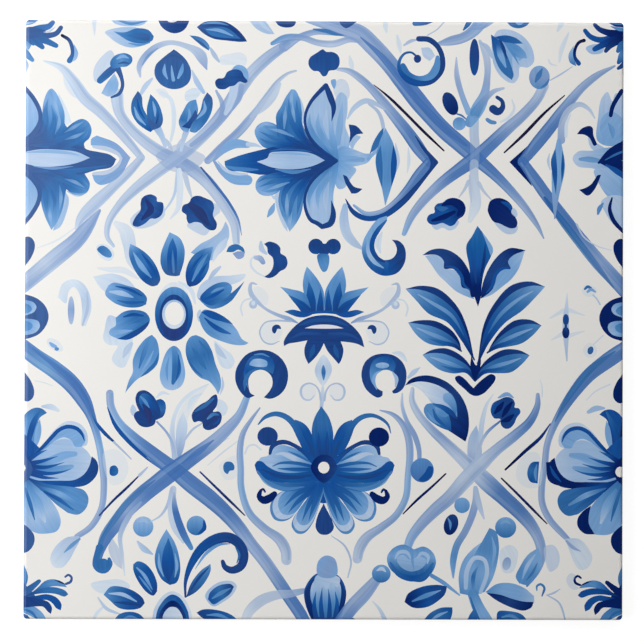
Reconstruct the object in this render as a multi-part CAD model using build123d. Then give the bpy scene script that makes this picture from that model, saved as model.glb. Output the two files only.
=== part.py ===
"""Delft tile: one square, dust-pressed and glazed earthenware wall tile.

The tile lies on its back with the decorated face up. The origin is the centre of the bedding
plane, +Z leaves the glazed face, and +Y points to the top of the picture on the face.
Millimetres throughout.
"""

import math
import os

from build123d import *

# The pressed blank
SIDE = 152.4  # across the face, a nominal 6 inch tile
THICKNESS = 7.0  # from the bedding plane to the glazed face
CORNER_RADIUS = 1.0  # of the four corners, seen from the front
EDGE_ROUND = 0.8  # where the glaze rolls over from the face into the edge

# The undercut that keeps neighbouring tiles apart behind the joint
UNDERCUT_HEIGHT = 2.4  # up the edge, from the bedding plane
UNDERCUT_INSET = 0.8  # in from the edge, at the bedding plane

# The keyed back: pockets between crossing ribs, which the adhesive grips
KEY_COUNT = 8  # pockets each way, an even number, so that two ribs cross at the centre
KEY_DEPTH = 0.8  # of a pocket, and so the height of a rib
KEY_RIB = 3.5  # rib between two pockets, at the bedding plane
KEY_RIM = 12.0  # from the tile's edge to the outermost pockets
KEY_CORNER_RADIUS = 1.6  # of a pocket's corners, at the bedding plane
KEY_DRAFT = 30.0  # degrees that a pocket's walls lean open, so that the press lets go


def pressed_blank():
    """The block with its rolled face edge and its undercut back edge."""
    outline = RectangleRounded(SIDE, SIDE, CORNER_RADIUS)
    blank = extrude(outline, THICKNESS)
    # a roll can't be wider than the corner that it turns round
    face_edges = blank.faces().sort_by(Axis.Z)[-1].edges()
    blank = fillet(face_edges, min(EDGE_ROUND, 0.95 * CORNER_RADIUS))
    bedding_face = blank.faces().sort_by(Axis.Z)[0]
    return chamfer(bedding_face.edges(), UNDERCUT_INSET, UNDERCUT_HEIGHT, reference=bedding_face)


def key_pocket(mouth_side):
    """One pocket, widest at the bedding plane and narrower at its floor."""
    wall_run = KEY_DEPTH * math.tan(math.radians(KEY_DRAFT))
    mouth = RectangleRounded(mouth_side, mouth_side, KEY_CORNER_RADIUS)
    floor_side = mouth_side - 2 * wall_run
    floor = RectangleRounded(floor_side, floor_side, KEY_CORNER_RADIUS - wall_run)
    return loft([mouth, Pos(Z=KEY_DEPTH) * floor], ruled=True)


def tile():
    """The finished tile, fired as one piece."""
    pitch = (SIDE - 2 * KEY_RIM + KEY_RIB) / KEY_COUNT
    pocket = key_pocket(mouth_side=pitch - KEY_RIB)
    pockets = [place * pocket for place in GridLocations(pitch, pitch, KEY_COUNT, KEY_COUNT)]
    return pressed_blank() - pockets


os.makedirs("parts", exist_ok=True)
export_step(tile(), "parts/tile.step")
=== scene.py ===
import math

import bpy
import numpy as np
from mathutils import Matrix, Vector
from mathutils.geometry import delaunay_2d_cdt


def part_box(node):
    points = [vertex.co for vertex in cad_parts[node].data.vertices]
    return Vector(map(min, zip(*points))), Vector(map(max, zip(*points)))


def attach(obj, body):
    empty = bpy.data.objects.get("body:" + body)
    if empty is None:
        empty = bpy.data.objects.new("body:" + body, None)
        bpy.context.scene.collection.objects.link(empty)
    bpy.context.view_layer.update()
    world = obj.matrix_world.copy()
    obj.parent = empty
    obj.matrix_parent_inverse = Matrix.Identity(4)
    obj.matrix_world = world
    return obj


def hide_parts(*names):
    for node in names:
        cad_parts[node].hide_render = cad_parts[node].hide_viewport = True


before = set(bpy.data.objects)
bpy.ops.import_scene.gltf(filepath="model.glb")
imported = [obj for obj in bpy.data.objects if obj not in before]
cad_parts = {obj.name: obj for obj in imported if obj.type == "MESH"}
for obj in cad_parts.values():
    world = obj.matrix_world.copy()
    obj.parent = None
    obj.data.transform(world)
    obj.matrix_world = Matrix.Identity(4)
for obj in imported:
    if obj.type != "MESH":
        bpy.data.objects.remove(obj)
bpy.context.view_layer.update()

# The tile in millimetres. The picture's own x and y start at the centre of the face.
MM = 0.001
LOW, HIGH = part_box("tile")
SIDE = (HIGH.x - LOW.x) / MM
TOP = HIGH.z / MM
HALF = SIDE / 2

# The painter

# Inks as they look in even light, from the darkest line to the bare glaze, then three greyer ones
INK = (24, 26, 62)
MIDNIGHT = (6, 34, 100)
NAVY = (30, 66, 130)
DENIM = (54, 90, 148)
COBALT = (22, 80, 154)
ROYAL = (50, 108, 170)
AZURE = (86, 140, 196)
SOFT = (122, 166, 214)
LIGHT = (158, 187, 222)
PALE = (180, 200, 226)
MIST = (206, 219, 233)
WHITE = (236, 234, 230)
SLATE = (68, 112, 177)
LAVENDER = (131, 158, 202)
HAZE = (170, 189, 217)

CURVE_STEP = 0.5  # mm between the points of a sampled curve

strokes = []


def smooth(points, closed=False):
    """A curve through the points: a centripetal Catmull-Rom spline."""
    knots = np.array(points, float)
    if len(knots) == 2:
        steps = max(2, math.ceil(math.dist(*knots) / CURVE_STEP))
        return knots[0] + np.linspace(0, 1, steps + 1)[:, None] * (knots[1] - knots[0])
    if closed:
        knots = np.vstack([knots[-1], knots, knots[0], knots[1]])
    else:
        knots = np.vstack([2 * knots[0] - knots[1], knots, 2 * knots[-1] - knots[-2]])
    curve = []
    for a, b, c, d in zip(knots, knots[1:], knots[2:], knots[3:]):
        t1, t2, t3 = (max(math.dist(*ends), 1e-6) ** 0.5 for ends in ((a, b), (b, c), (c, d)))
        leaving = t2 * ((b - a) / t1 - (c - a) / (t1 + t2)) + c - b
        arriving = t2 * ((d - c) / t3 - (d - b) / (t2 + t3)) + c - b
        s = np.linspace(0, 1, max(3, math.ceil(math.dist(b, c) / CURVE_STEP)) + 1)[:-1, None]
        curve.append(
            (2 * s**3 - 3 * s**2 + 1) * b
            + (s**3 - 2 * s**2 + s) * leaving
            + (3 * s**2 - 2 * s**3) * c
            + (s**3 - s**2) * arriving
        )
    return np.vstack(curve if closed else curve + [knots[-2][None]])


def lay(outline, spine, tones, opacity, grain):
    """Keeps one stroke of the brush. Its tones run along the spine."""
    tones = [tones] if isinstance(tones[0], (int, float)) else tones
    strokes.append({
        "outline": outline,
        "spine": np.array(spine, float),
        "tones": np.array(tones, float) / 255,
        "opacity": opacity,
        # pale paint shows its bristles less
        "grain": grain * (1.15 - np.mean(tones) / 255),
    })


def long_axis(outline):
    """From the outline's first point to the one that lies farthest from it."""
    reach = np.hypot(*(outline - outline[0]).T)
    return outline[0], outline[reach.argmax()]


def shape(*sides, tones, axis=None, opacity=1.0, grain=1.0):
    """A patch bounded by smooth sides that meet at corners. Its tones run from its first point to
    the farthest one, or along the axis."""
    outline = np.vstack([smooth(side)[:-1] for side in sides] + [np.array(sides[-1][-1:], float)])
    lay(outline, axis or long_axis(outline), tones, opacity, grain)


def blob(*points, tones, axis=None, opacity=1.0, grain=1.0):
    """A patch with one smooth closed outline."""
    outline = smooth(points, closed=True)
    lay(outline, axis or long_axis(outline), tones, opacity, grain)


def oval(centre, across, up, tones, turn=0.0, axis=None, opacity=1.0, grain=1.0):
    """An ellipse with these half widths, turned by some degrees. Its tones run from top to bottom."""
    count = max(14, round(1.5 * math.pi * max(across, up) / CURVE_STEP))
    angle = np.linspace(0, 2 * math.pi, count, endpoint=False)
    cos, sin = math.cos(math.radians(turn)), math.sin(math.radians(turn))
    local = np.stack([across * np.cos(angle), up * np.sin(angle)], 1)
    outline = np.array(centre, float) + local @ np.array([[cos, sin], [-sin, cos]])
    if axis is None:
        rise = np.array([-sin, cos]) * up
        axis = (np.array(centre) + rise, np.array(centre) - rise)
    lay(outline, axis, tones, opacity, grain)


def brush(*points, width, tones, opacity=1.0, grain=1.0, span=(-0.5, 0.5)):
    """A brush drawn along a curve. The widths are spread along it, and an end with width is round.
    A span of less than the whole width leaves one streak of the stroke, to the right or left."""
    spine = smooth(points)
    run = np.concatenate([[0], np.cumsum(np.hypot(*np.diff(spine, axis=0).T))])
    run /= run[-1]
    widths = np.array([width, width] if isinstance(width, (int, float)) else width, float)
    if len(widths) > 2:
        # drawn small, so that the curve of the widths keeps to the run along the stroke
        knots = smooth([(i / (len(widths) - 1), w / 10) for i, w in enumerate(widths)])
        half = np.interp(run, knots[:, 0], knots[:, 1] * 10) / 2
    else:
        half = np.interp(run, [0, 1], widths) / 2
    half = np.maximum(half, 0)
    ahead = np.gradient(spine, axis=0)
    ahead /= np.maximum(np.hypot(*ahead.T), 1e-9)[:, None]
    left = np.stack([-ahead[:, 1], ahead[:, 0]], 1)

    def cap(end, sign):
        if half[end] < 0.05 or span != (-0.5, 0.5):
            return np.empty((0, 2))
        turn = np.linspace(90, -90, max(4, math.ceil(math.pi * half[end] / CURVE_STEP)) + 1)[1:-1]
        turn = np.radians(turn)[:, None]
        return spine[end] + sign * half[end] * (np.cos(turn) * ahead[end] + np.sin(turn) * left[end])

    up_side = spine + 2 * span[1] * half[:, None] * left
    down_side = spine + 2 * span[0] * half[:, None] * left
    outline = np.vstack([up_side, cap(-1, 1), down_side[::-1], cap(0, -1)])
    lay(outline, spine, tones, opacity, grain)


def places_along(spine, points):
    """For each point, how far along the spine its nearest place is, in mm, and how far to the side."""
    start, step = spine[:-1], np.diff(spine, axis=0)
    length = np.maximum(np.hypot(*step.T), 1e-9)
    begun = np.concatenate([[0], np.cumsum(length)[:-1]])
    away = points[:, None] - start
    reach = np.einsum("pij,ij->pi", away, step) / length
    clipped = np.clip(reach, 0, length)
    miss = away - (clipped / length)[:, :, None] * step
    gap = np.einsum("pij,pij->pi", miss, miss)
    nearest = gap.argmin(1)
    rows = np.arange(len(points))
    along = begun[nearest] + clipped[rows, nearest]
    side = (
        step[nearest, 0] * away[rows, nearest, 1] - step[nearest, 1] * away[rows, nearest, 0]
    ) / length[nearest]
    return along, side, length.sum()


def tone_at(stroke, points):
    """The stroke's colour at these points, and the bristles' own coordinates there."""
    along, side, length = places_along(stroke["spine"], points)
    tones = stroke["tones"]
    if len(tones) == 1:
        colour = np.repeat(tones, len(points), 0)
    else:
        stops = np.linspace(0, length, len(tones))
        colour = np.stack([np.interp(along, stops, channel) for channel in tones.T], 1)
    return colour, np.stack([along, side], 1)


def band(*points, width, tones, opacity=0.9):
    """One strand of the trellis: a translucent wash with a darker and a paler streak in it."""
    brush(*points, width=width, tones=tones, opacity=opacity)
    brush(*points, width=width, tones=SLATE, opacity=0.17, span=(0.12, 0.38))
    brush(*points, width=width, tones=MIST, opacity=0.2, span=(-0.36, -0.12))


def paint_upper_trellis():
    """The bands that cross at the upper left and at the upper right."""
    band((-71.5, 65.6), (-67, 63.9), (-64, 60.5), (-61, 56.2), (-57, 52.7), (-53, 48.6), (-49.5, 44.6),
         (-46.6, 41.1), width=(0.4, 2.4, 3.2, 2.8, 2.4, 1.8), tones=(MIST, PALE, HAZE, HAZE))
    band((-46.6, 41.1), (-50, 37.3), (-54.5, 33), (-58.5, 29.3), (-62, 25.5), (-63, 23),
         width=(1.8, 2.4, 2.6, 3.2, 3, 1), tones=(HAZE, HAZE, PALE))
    band((-57.2, 27.6), (-59.8, 24), (-63, 20), (-68, 15.8), (-73, 11.6), (-78, 7.5),
         width=(0.8, 3.4, 4.2, 4.4, 4.2, 4), tones=(LAVENDER, LAVENDER, HAZE, LAVENDER))
    band((-53, 57), (-52.2, 52.5), (-49.5, 48.6), (-45.5, 45), (-41.5, 42.3), (-37.4, 40.3), (-33, 37.6),
         (-29, 34), (-25.5, 29), (-23, 24.5), (-22.4, 19.5),
         width=(3.4, 2.6, 2.6, 3, 3.2, 3.4, 3.4, 3.2, 2.8, 2.4, 1.8),
         tones=(PALE, HAZE, HAZE, LAVENDER, HAZE, HAZE, PALE))
    band((-10, 70), (-14.5, 66.8), (-18.5, 63), (-22, 58.5), (-25.6, 53), (-29.5, 48.3), (-34, 44),
         (-38.4, 40.6), (-43, 37.2), (-48.5, 32.8), (-52.5, 28.6), (-54.9, 24.5), (-55.2, 21),
         (-53.6, 18.6), width=(2.4, 3, 3.2, 3.6, 3.4, 3, 3, 3.4, 3.2, 3, 2.6, 2, 1.6, 0.8),
         tones=(LAVENDER, HAZE, LAVENDER, HAZE, HAZE, HAZE, PALE))
    band((-10.5, 69.5), (-6.5, 72), (-2.5, 73.3), (2, 73), (5, 72.4),
         width=(2.6, 1.8, 1.5, 1.3, 0.5), tones=(LAVENDER, LAVENDER, AZURE))
    band((-13.5, 70.3), (-10.5, 71.7), (-6, 71.9), (-2, 70.6), (2, 70.3), (6, 71.4), (9, 71),
         width=(1, 1.8, 1.6, 1.6, 1.8, 1.6, 1), tones=(AZURE, LAVENDER, HAZE, LAVENDER))
    brush((-27.7, 58.2), (-26.2, 55), (-26.5, 51.5), (-29.5, 48), (-34, 44.3),
          width=(0.6, 1.3, 1.4, 1.2, 1), tones=LAVENDER, opacity=0.8)
    brush((-23, 59.3), (-23.6, 56), (-25.3, 52.4), width=(2.4, 2.2, 1), tones=PALE)
    brush((-21.3, 59.4), (-21.8, 56.5), (-23.5, 53.5), width=(1.4, 1.4, 0.6), tones=LAVENDER, opacity=0.8)
    band((-29.8, 40.4), (-26.2, 43.8), (-21.5, 48.2), (-18, 52.5), (-15, 56.7), (-12, 60.7),
         (-9.5, 62.7), (-7.4, 63.4), width=(1.8, 2.2, 2.2, 2.2, 1.6, 1.4, 1, 0.5),
         tones=(LAVENDER, LAVENDER, HAZE, HAZE))
    brush((-19, 51.5), (-15.5, 54.6), (-13, 57.5), (-11.5, 60), width=(0.5, 2.2, 2.4, 0.8),
          tones=(HAZE, PALE), opacity=0.8)

    brush((-31.5, 38.7), (-28, 34.5), (-24.5, 30), (-22, 25.5), (-21.1, 21.5),
          width=(0.4, 0.7, 0.7, 0.6, 0.2), tones=(DENIM, SLATE, SLATE, LAVENDER))
    # soft sprouts above and below the crossing
    blob((-43, 41.7), (-40, 43.6), (-36.9, 44.6), (-33, 43), (-30.4, 41.3), (-33.4, 38), (-37, 37.4),
         (-40.4, 38.4), tones=LAVENDER, opacity=0.4)
    brush((-41.6, 57.6), (-39.4, 56.2), (-38.5, 53), (-38.5, 49), (-39.2, 45.4),
          width=(1, 1, 1.2, 1, 0.6), tones=MIST)
    brush((-40.6, 46), (-39.6, 44.4), (-38.8, 43), width=(0.3, 1.2, 0.4), tones=HAZE, opacity=0.8)
    brush((-36.6, 45.8), (-37.2, 44.2), (-37.6, 43), width=(0.3, 1, 0.4), tones=HAZE, opacity=0.8)
    brush((-37.4, 38), (-38.4, 31.3), (-41.4, 26.7), width=(0.9, 0.7, 0.3), tones=PALE)
    brush((-35.6, 37), (-34.8, 34), (-33.9, 31.3), width=(1.4, 1.2, 0.5), tones=HAZE, opacity=0.8)
    brush((-37, 38), (-36.8, 33), (-37.3, 28.2), (-39.2, 25.6), width=(1.2, 1.7, 1.5, 0.4), tones=MIST,
          opacity=0.9)

    band((-4, 77), (3, 74.7), (8.5, 73), (12.3, 69.6), (16.2, 65.4), (20.2, 60.2), (25, 54.2),
         (30, 48.7), (34.5, 44.8), (38.6, 41.2), (43, 37.4), (47, 33.4), (51, 28.8), (54.3, 24),
         (55.8, 21), width=(3, 3.4, 4.4, 4.6, 4.4, 4.4, 4.6, 4.2, 4.2, 4, 3.2, 2.6, 2.2, 1.6, 0.4),
         tones=(LAVENDER, LAVENDER, LAVENDER, SLATE, SLATE, SLATE, SLATE, LAVENDER, LAVENDER))
    brush((9, 72), (14, 67.5), (19, 61.6), (24.5, 55), (30, 49.3), (36, 44.5),
          width=(0.3, 1.6, 1.9, 1.8, 1.9, 0.6), tones=SLATE, opacity=0.75)
    brush((-3, 74), (0.5, 73.5), (2.6, 72.8), (4.6, 72.5), width=(0.4, 1, 1, 0.2), tones=ROYAL,
          opacity=0.8)
    band((3, 63.9), (6, 63.4), (9.5, 61.1), (13, 57.6), (17, 52.8), (21, 47.8), (24.3, 43.2),
         (26.6, 40.2), width=(0.8, 1.8, 2, 2.4, 2.8, 3.2, 3.4, 2.4),
         tones=(HAZE, LAVENDER, LAVENDER, SLATE, SLATE))
    band((26.6, 40.4), (24.2, 37.2), (21.5, 33.5), (18.4, 30.2), (14.5, 27.6), (10.5, 27.1), (7.4, 29.2),
         width=(2.4, 3, 2.6, 2, 1.4, 1.2, 0.6), tones=(SLATE, SLATE, LAVENDER, SOFT))
    brush((28.4, 40.2), (26.2, 37.4), (23, 33.5), (19.5, 29.8), (15, 26.6), (10.5, 25.9), (7.2, 27.6),
          (5.3, 30.8), width=(0.9, 0.9, 1.3, 1.6, 1.5, 1.3, 1.3, 0.2), tones=(NAVY, NAVY, COBALT, NAVY))
    brush((23, 46.9), (25.3, 43.6), (28.4, 40.2), width=(0.2, 0.9, 1), tones=NAVY)
    shape(((25.8, 42.6), (28.6, 40.2)), ((28.6, 40.2), (26.2, 37.6)),
          ((26.2, 37.6), (26.9, 40.1), (25.8, 42.6)), tones=NAVY)
    brush((12.4, 59.9), (16, 57), (20, 53.2), (25, 48.2), (30.3, 43.2), width=(0.2, 0.7, 0.7, 0.7, 0.4),
          tones=INK)
    band((55.7, 59.8), (54, 56.5), (50.5, 52.5), (46, 48.5), (42, 44.7), (38.4, 41.4), (34.5, 38.6),
         (30, 35.2), (25.6, 31), (22.2, 26.6), (20.2, 22),
         width=(2.6, 2.6, 2.8, 3.2, 3.4, 3.8, 3.2, 2.8, 2.4, 2, 1.2),
         tones=(HAZE, LAVENDER, LAVENDER, SLATE, SLATE, SLATE, LAVENDER, LAVENDER, SOFT))
    band((28.6, 70.4), (32, 71.2), (35, 72), (37.6, 73.6), (40.5, 77), width=(0.8, 2.4, 2.6, 3, 3.4),
         tones=(LAVENDER, LAVENDER, SOFT))
    brush((37.5, 74.5), (40, 75), (43.5, 77.4), width=(1, 1.6, 1.6), tones=LAVENDER, opacity=0.8)
    brush((35.2, 74), (36, 75), (37.2, 76.8), width=(0.4, 1.2, 1.2), tones=ROYAL)

    # the dark chevron behind the right strand
    shape(((52.6, 45.4), (47, 40.4)), ((47, 40.4), (52.8, 34.2)),
          ((52.8, 34.2), (50.8, 40.4), (52.6, 45.4)), tones=MIDNIGHT)
    band((73.8, 65), (69.5, 62.7), (65.5, 59.5), (61.5, 54.8), (57.5, 49.5), (53.5, 44.5), (50.3, 40.4),
         width=(0.5, 1.8, 2.2, 2.8, 3.2, 3.2, 2.4), tones=(LAVENDER, LAVENDER, SLATE, SLATE))
    band((50.3, 40.6), (53.3, 36.4), (57, 31.2), (61, 26.2), (65.5, 20.5), (70, 15), (77.5, 6.8),
         width=(2.4, 3, 3, 3, 3.4, 3.8, 3.8), tones=(SLATE, SLATE, SLATE, LAVENDER, SLATE))
    brush((61, 57.4), (56, 53), (50.5, 47.3), (45.7, 42.8), width=(0.3, 0.7, 0.8, 0.4), tones=INK)
    brush((56, 31.4), (60, 26), (64, 20.8), (68, 15.6), (73.6, 8.6), width=(0.6, 1.8, 1.9, 1.7, 0.4),
          tones=(COBALT, ROYAL, SLATE), opacity=0.7)


def paint_upper_washes():
    """Faint shadows of the brush behind the upper motifs."""
    blob((-66.5, 62), (-63.5, 58), (-62, 56), (-64, 56.5), (-66, 59), tones=MIST, opacity=0.8)
    brush((-58.8, 77), (-58.7, 74.5), (-58.6, 72), width=(1.3, 0.9, 0.1), tones=MIST)
    blob((-54.5, 68.4), (-57, 66.6), (-58.8, 63.6), (-58.6, 60.6), (-57, 60), (-55.5, 63.4),
         (-53.5, 66.5), tones=PALE, opacity=0.75)
    blob((-43, 58.4), (-41, 58.6), (-39.8, 57.2), (-41, 56.2), tones=MIST, opacity=0.6)
    blob((-35.5, 57.8), (-33.4, 58.9), (-31.5, 58.2), (-33, 56), (-35.4, 55.6), tones=MIST)
    blob((-26.8, 66.8), (-24, 67.7), (-21.5, 68), (-20, 66.8), (-20.4, 64.6), (-23.5, 64.8), (-26.6, 65),
         tones=MIST, opacity=0.7)
    for points in (((6.2, 67.2), (6.6, 65.4), (7, 63.4)), ((15.4, 77), (15.3, 75), (15.6, 73.4)),
                   ((18.3, 72.6), (18.8, 70.4), (19.2, 68.2)), ((62, 73.4), (60.2, 69), (59.7, 66)),
                   ((61, 76.6), (60, 75.3), (59.2, 73.8))):
        brush(*points, width=(0.4, 1.3, 0.5), tones=MIST, opacity=0.9)
    brush((26, 72.6), (28.6, 74.2), (31, 77), width=0.3, tones=HAZE)
    brush((57.4, 61.3), (60, 62.8), (63, 64.8), width=(0.3, 0.4, 0.2), tones=HAZE)
    brush((56.9, 66.6), (57.4, 65.5), (59, 65), width=(0.3, 0.5, 0.2), tones=MIST)
    brush((47.6, 56.3), (48.2, 54), (46.8, 51.8), (44.8, 50.6), width=(0.3, 0.7, 0.8, 0.5), tones=MIST)


def paint_left_flower():
    """The flower that the left edge cuts, lying on its side with its tip to the right."""
    shape(((-67.8, 57.6), (-65.6, 53.5), (-64.4, 50)), ((-64.4, 50), (-67, 49), (-67.8, 57.6)),
          tones=MIST)
    shape(((-77, 59), (-74.2, 55.6), (-72.8, 52.6), (-72.8, 50), (-74.6, 46.6), (-77, 45)),
          ((-77, 45), (-77, 59)), tones=(LIGHT, SOFT))
    shape(((-77, 38), (-74.4, 35.6), (-73, 32.5), (-73, 30), (-74.8, 26.8), (-77, 24)),
          ((-77, 24), (-77, 38)), tones=(SOFT, LIGHT))
    # the petals above and below
    shape(((-66.4, 33), (-65, 30.6), (-65.6, 27), (-67.2, 23.4), (-69, 22.4)),
          ((-69, 22.4), (-67.6, 28), (-66.4, 33)), tones=LIGHT)
    shape(((-71.9, 44.4), (-71.9, 50.7), (-71.6, 54.8), (-70.6, 57.7), (-69.6, 58.6), (-68.5, 57.7),
           (-67, 54.8), (-66.2, 52.2), (-66.1, 49.6), (-65.4, 48.6)), ((-65.4, 48.6), (-66, 44)),
          ((-66, 44), (-71.9, 44.4)), tones=(DENIM, ROYAL, AZURE, SOFT, SOFT),
          axis=((-70, 44.4), (-69.4, 58.6)))
    shape(((-67, 44), (-66.4, 47.4), (-65.4, 48.8), (-63.6, 50.2), (-61.8, 50.9), (-60.2, 50.2),
           (-59.3, 48.1), (-59.9, 46), (-61.2, 44.7), (-61, 43.6)), ((-61, 43.6), (-67, 44)),
          tones=(DENIM, ROYAL, AZURE), axis=((-66, 44), (-60, 50)))
    shape(((-71.9, 37), (-72.2, 31.4), (-71.9, 28.8), (-70.9, 25.7), (-69.4, 22.6)),
          ((-69.4, 22.6), (-68, 24.6), (-66.6, 28), (-66, 31.4), (-65.6, 33.4), (-66, 37)),
          ((-66, 37), (-71.9, 37)), tones=(DENIM, ROYAL, AZURE, SOFT), axis=((-70, 37.4), (-69.4, 23)))
    shape(((-67, 37.2), (-66.4, 34), (-65.4, 32.8), (-64.1, 31.8), (-62, 31.4), (-60.2, 32.5),
           (-59.7, 34.5), (-61, 36.9)), ((-61, 36.9), (-67, 37.2)), tones=(DENIM, ROYAL, AZURE),
          axis=((-66, 37), (-60.6, 31.8)))
    blob((-75, 45), (-73.2, 47.4), (-71.9, 50.6), (-70.6, 48), (-71, 44.6), tones=DENIM)
    blob((-75, 37), (-73.4, 35.4), (-72.2, 32.2), (-70.8, 34), (-71, 37), tones=DENIM)
    # the dark heart
    shape(((-77, 45.6), (-72, 45.2), (-66, 44.8), (-61.4, 43.8)),
          ((-61.4, 43.8), (-60.4, 43.1), (-57.5, 42.5), (-54.8, 41.9), (-53, 40.7)),
          ((-53, 40.7), (-54.2, 38.7), (-58, 37.9), (-61.2, 36.9)),
          ((-61.2, 36.9), (-66, 36.2), (-71, 36), (-77, 37)), ((-77, 37), (-77, 45.6)), tones=DENIM)
    brush((-75, 44.2), (-69, 44), (-63.5, 43.2), width=(0.4, 1.2, 0.3), tones=ROYAL, opacity=0.8)
    brush((-75, 37.4), (-69, 37.4), (-62, 37.9), (-55.5, 39), width=(0.4, 1, 1.1, 0.3), tones=ROYAL,
          opacity=0.8)
    # streaks that sweep from the edge into the petals, dark ones and then light ones
    for points in (((-76, 44.6), (-72.4, 45.5), (-69.8, 47.6), (-68.8, 50.7), (-69.6, 54.4)),
                   ((-75, 45.6), (-72, 47), (-71, 50), (-71, 53), (-70.4, 56)),
                   ((-75, 44.2), (-69.8, 44.9), (-65.7, 46.4), (-62.4, 48.4), (-60.6, 49.4)),
                   ((-70, 43.6), (-66, 44.2), (-63.4, 45), (-61.4, 46.2), (-60.2, 47.6)),
                   ((-76, 36.8), (-72.4, 35.6), (-69.8, 33.4), (-68.6, 30.4), (-69, 27)),
                   ((-75, 36), (-72.4, 34.2), (-71, 31.6), (-70.8, 29), (-70.6, 26.4)),
                   ((-75, 37.4), (-69.8, 36.4), (-65.7, 35), (-62.4, 33.4), (-60.8, 32.8)),
                   ((-70, 37.6), (-66, 37), (-63.4, 36.3), (-61.4, 35.2), (-60.2, 34))):
        brush(*points, width=(0.6, 1.4, 1.5, 1.1, 0.1), tones=(DENIM, DENIM, ROYAL, ROYAL, AZURE),
              opacity=0.75)
    for points in (((-69.8, 57.8), (-68.4, 54), (-67.4, 50.4)),
                   ((-68.6, 47), (-67.6, 49.6), (-67.6, 52.4)),
                   ((-66.2, 47.4), (-63.6, 48.9), (-61.4, 50.2)), ((-66, 45.6), (-63, 46.6), (-61, 47.6)),
                   ((-67.4, 34), (-67, 31), (-67.4, 27.6)), ((-69.8, 28.6), (-69.8, 26.4), (-69.4, 24)),
                   ((-66, 35.6), (-63.4, 34.8), (-61, 33.4)),
                   ((-65.4, 32.4), (-62.6, 31.5), (-60.4, 32.2))):
        brush(*points, width=(0.2, 0.9, 0.1), tones=(AZURE, LIGHT, SOFT), opacity=0.6)
    brush((-76.4, 58.9), (-74, 55.9), (-72.5, 52.8), (-72.4, 50.2), (-74.2, 46.8), (-76.6, 44.6),
          width=(1, 1.1, 1.1, 1.1, 1.5, 2), tones=DENIM)
    brush((-76.6, 38), (-73.9, 35.3), (-72.5, 32.5), (-72.7, 29.9), (-74.4, 26.7), (-76.6, 24),
          width=(2, 1.5, 1.1, 1.1, 1.1, 1), tones=DENIM)
    shape(((-77, 42.3), (-72.4, 43.1), (-67.2, 43), (-63, 42.5), (-59.7, 41)),
          ((-59.7, 41), (-63, 39.7), (-67.2, 38.9), (-72.4, 38.7), (-77, 39.7)),
          ((-77, 39.7), (-77, 42.3)), tones=(PALE, PALE, LIGHT))
    brush((-76, 42.3), (-70, 42.6), (-65, 42.2), (-62.4, 41.6), width=(0.3, 0.8, 0.9, 0.2), tones=SOFT,
          opacity=0.7)
    brush((-74, 38.8), (-69, 38.3), (-64, 38.8), width=(0.2, 0.7, 0.1), tones=SOFT, opacity=0.7)
    brush((-58.6, 44), (-55, 43.2), (-52.2, 41.9), (-51.6, 40.8), (-52.4, 39.2), (-55, 37.4),
          (-58.6, 36.8), width=1.2, tones=HAZE, opacity=0.8)
    # the pale bracket in front of the tip
    shape(((-49.4, 41.1), (-53, 44.7), (-58, 46.7)), ((-58, 46.7), (-59.4, 45.8), (-59.5, 44.2)),
          ((-59.5, 44.2), (-55.5, 43.9), (-52.4, 42.4), (-51.4, 40.9)), ((-51.4, 40.9), (-49.4, 41.1)),
          tones=(LAVENDER, SOFT))
    shape(((-49.4, 41.1), (-51.6, 37), (-54.2, 34.9), (-57, 34.1), (-58.4, 34.9), (-59.1, 36.6)),
          ((-59.1, 36.6), (-55.4, 36.8), (-52.4, 38.8), (-51.4, 40.9)), ((-51.4, 40.9), (-49.4, 41.1)),
          tones=(LAVENDER, SOFT))


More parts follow.
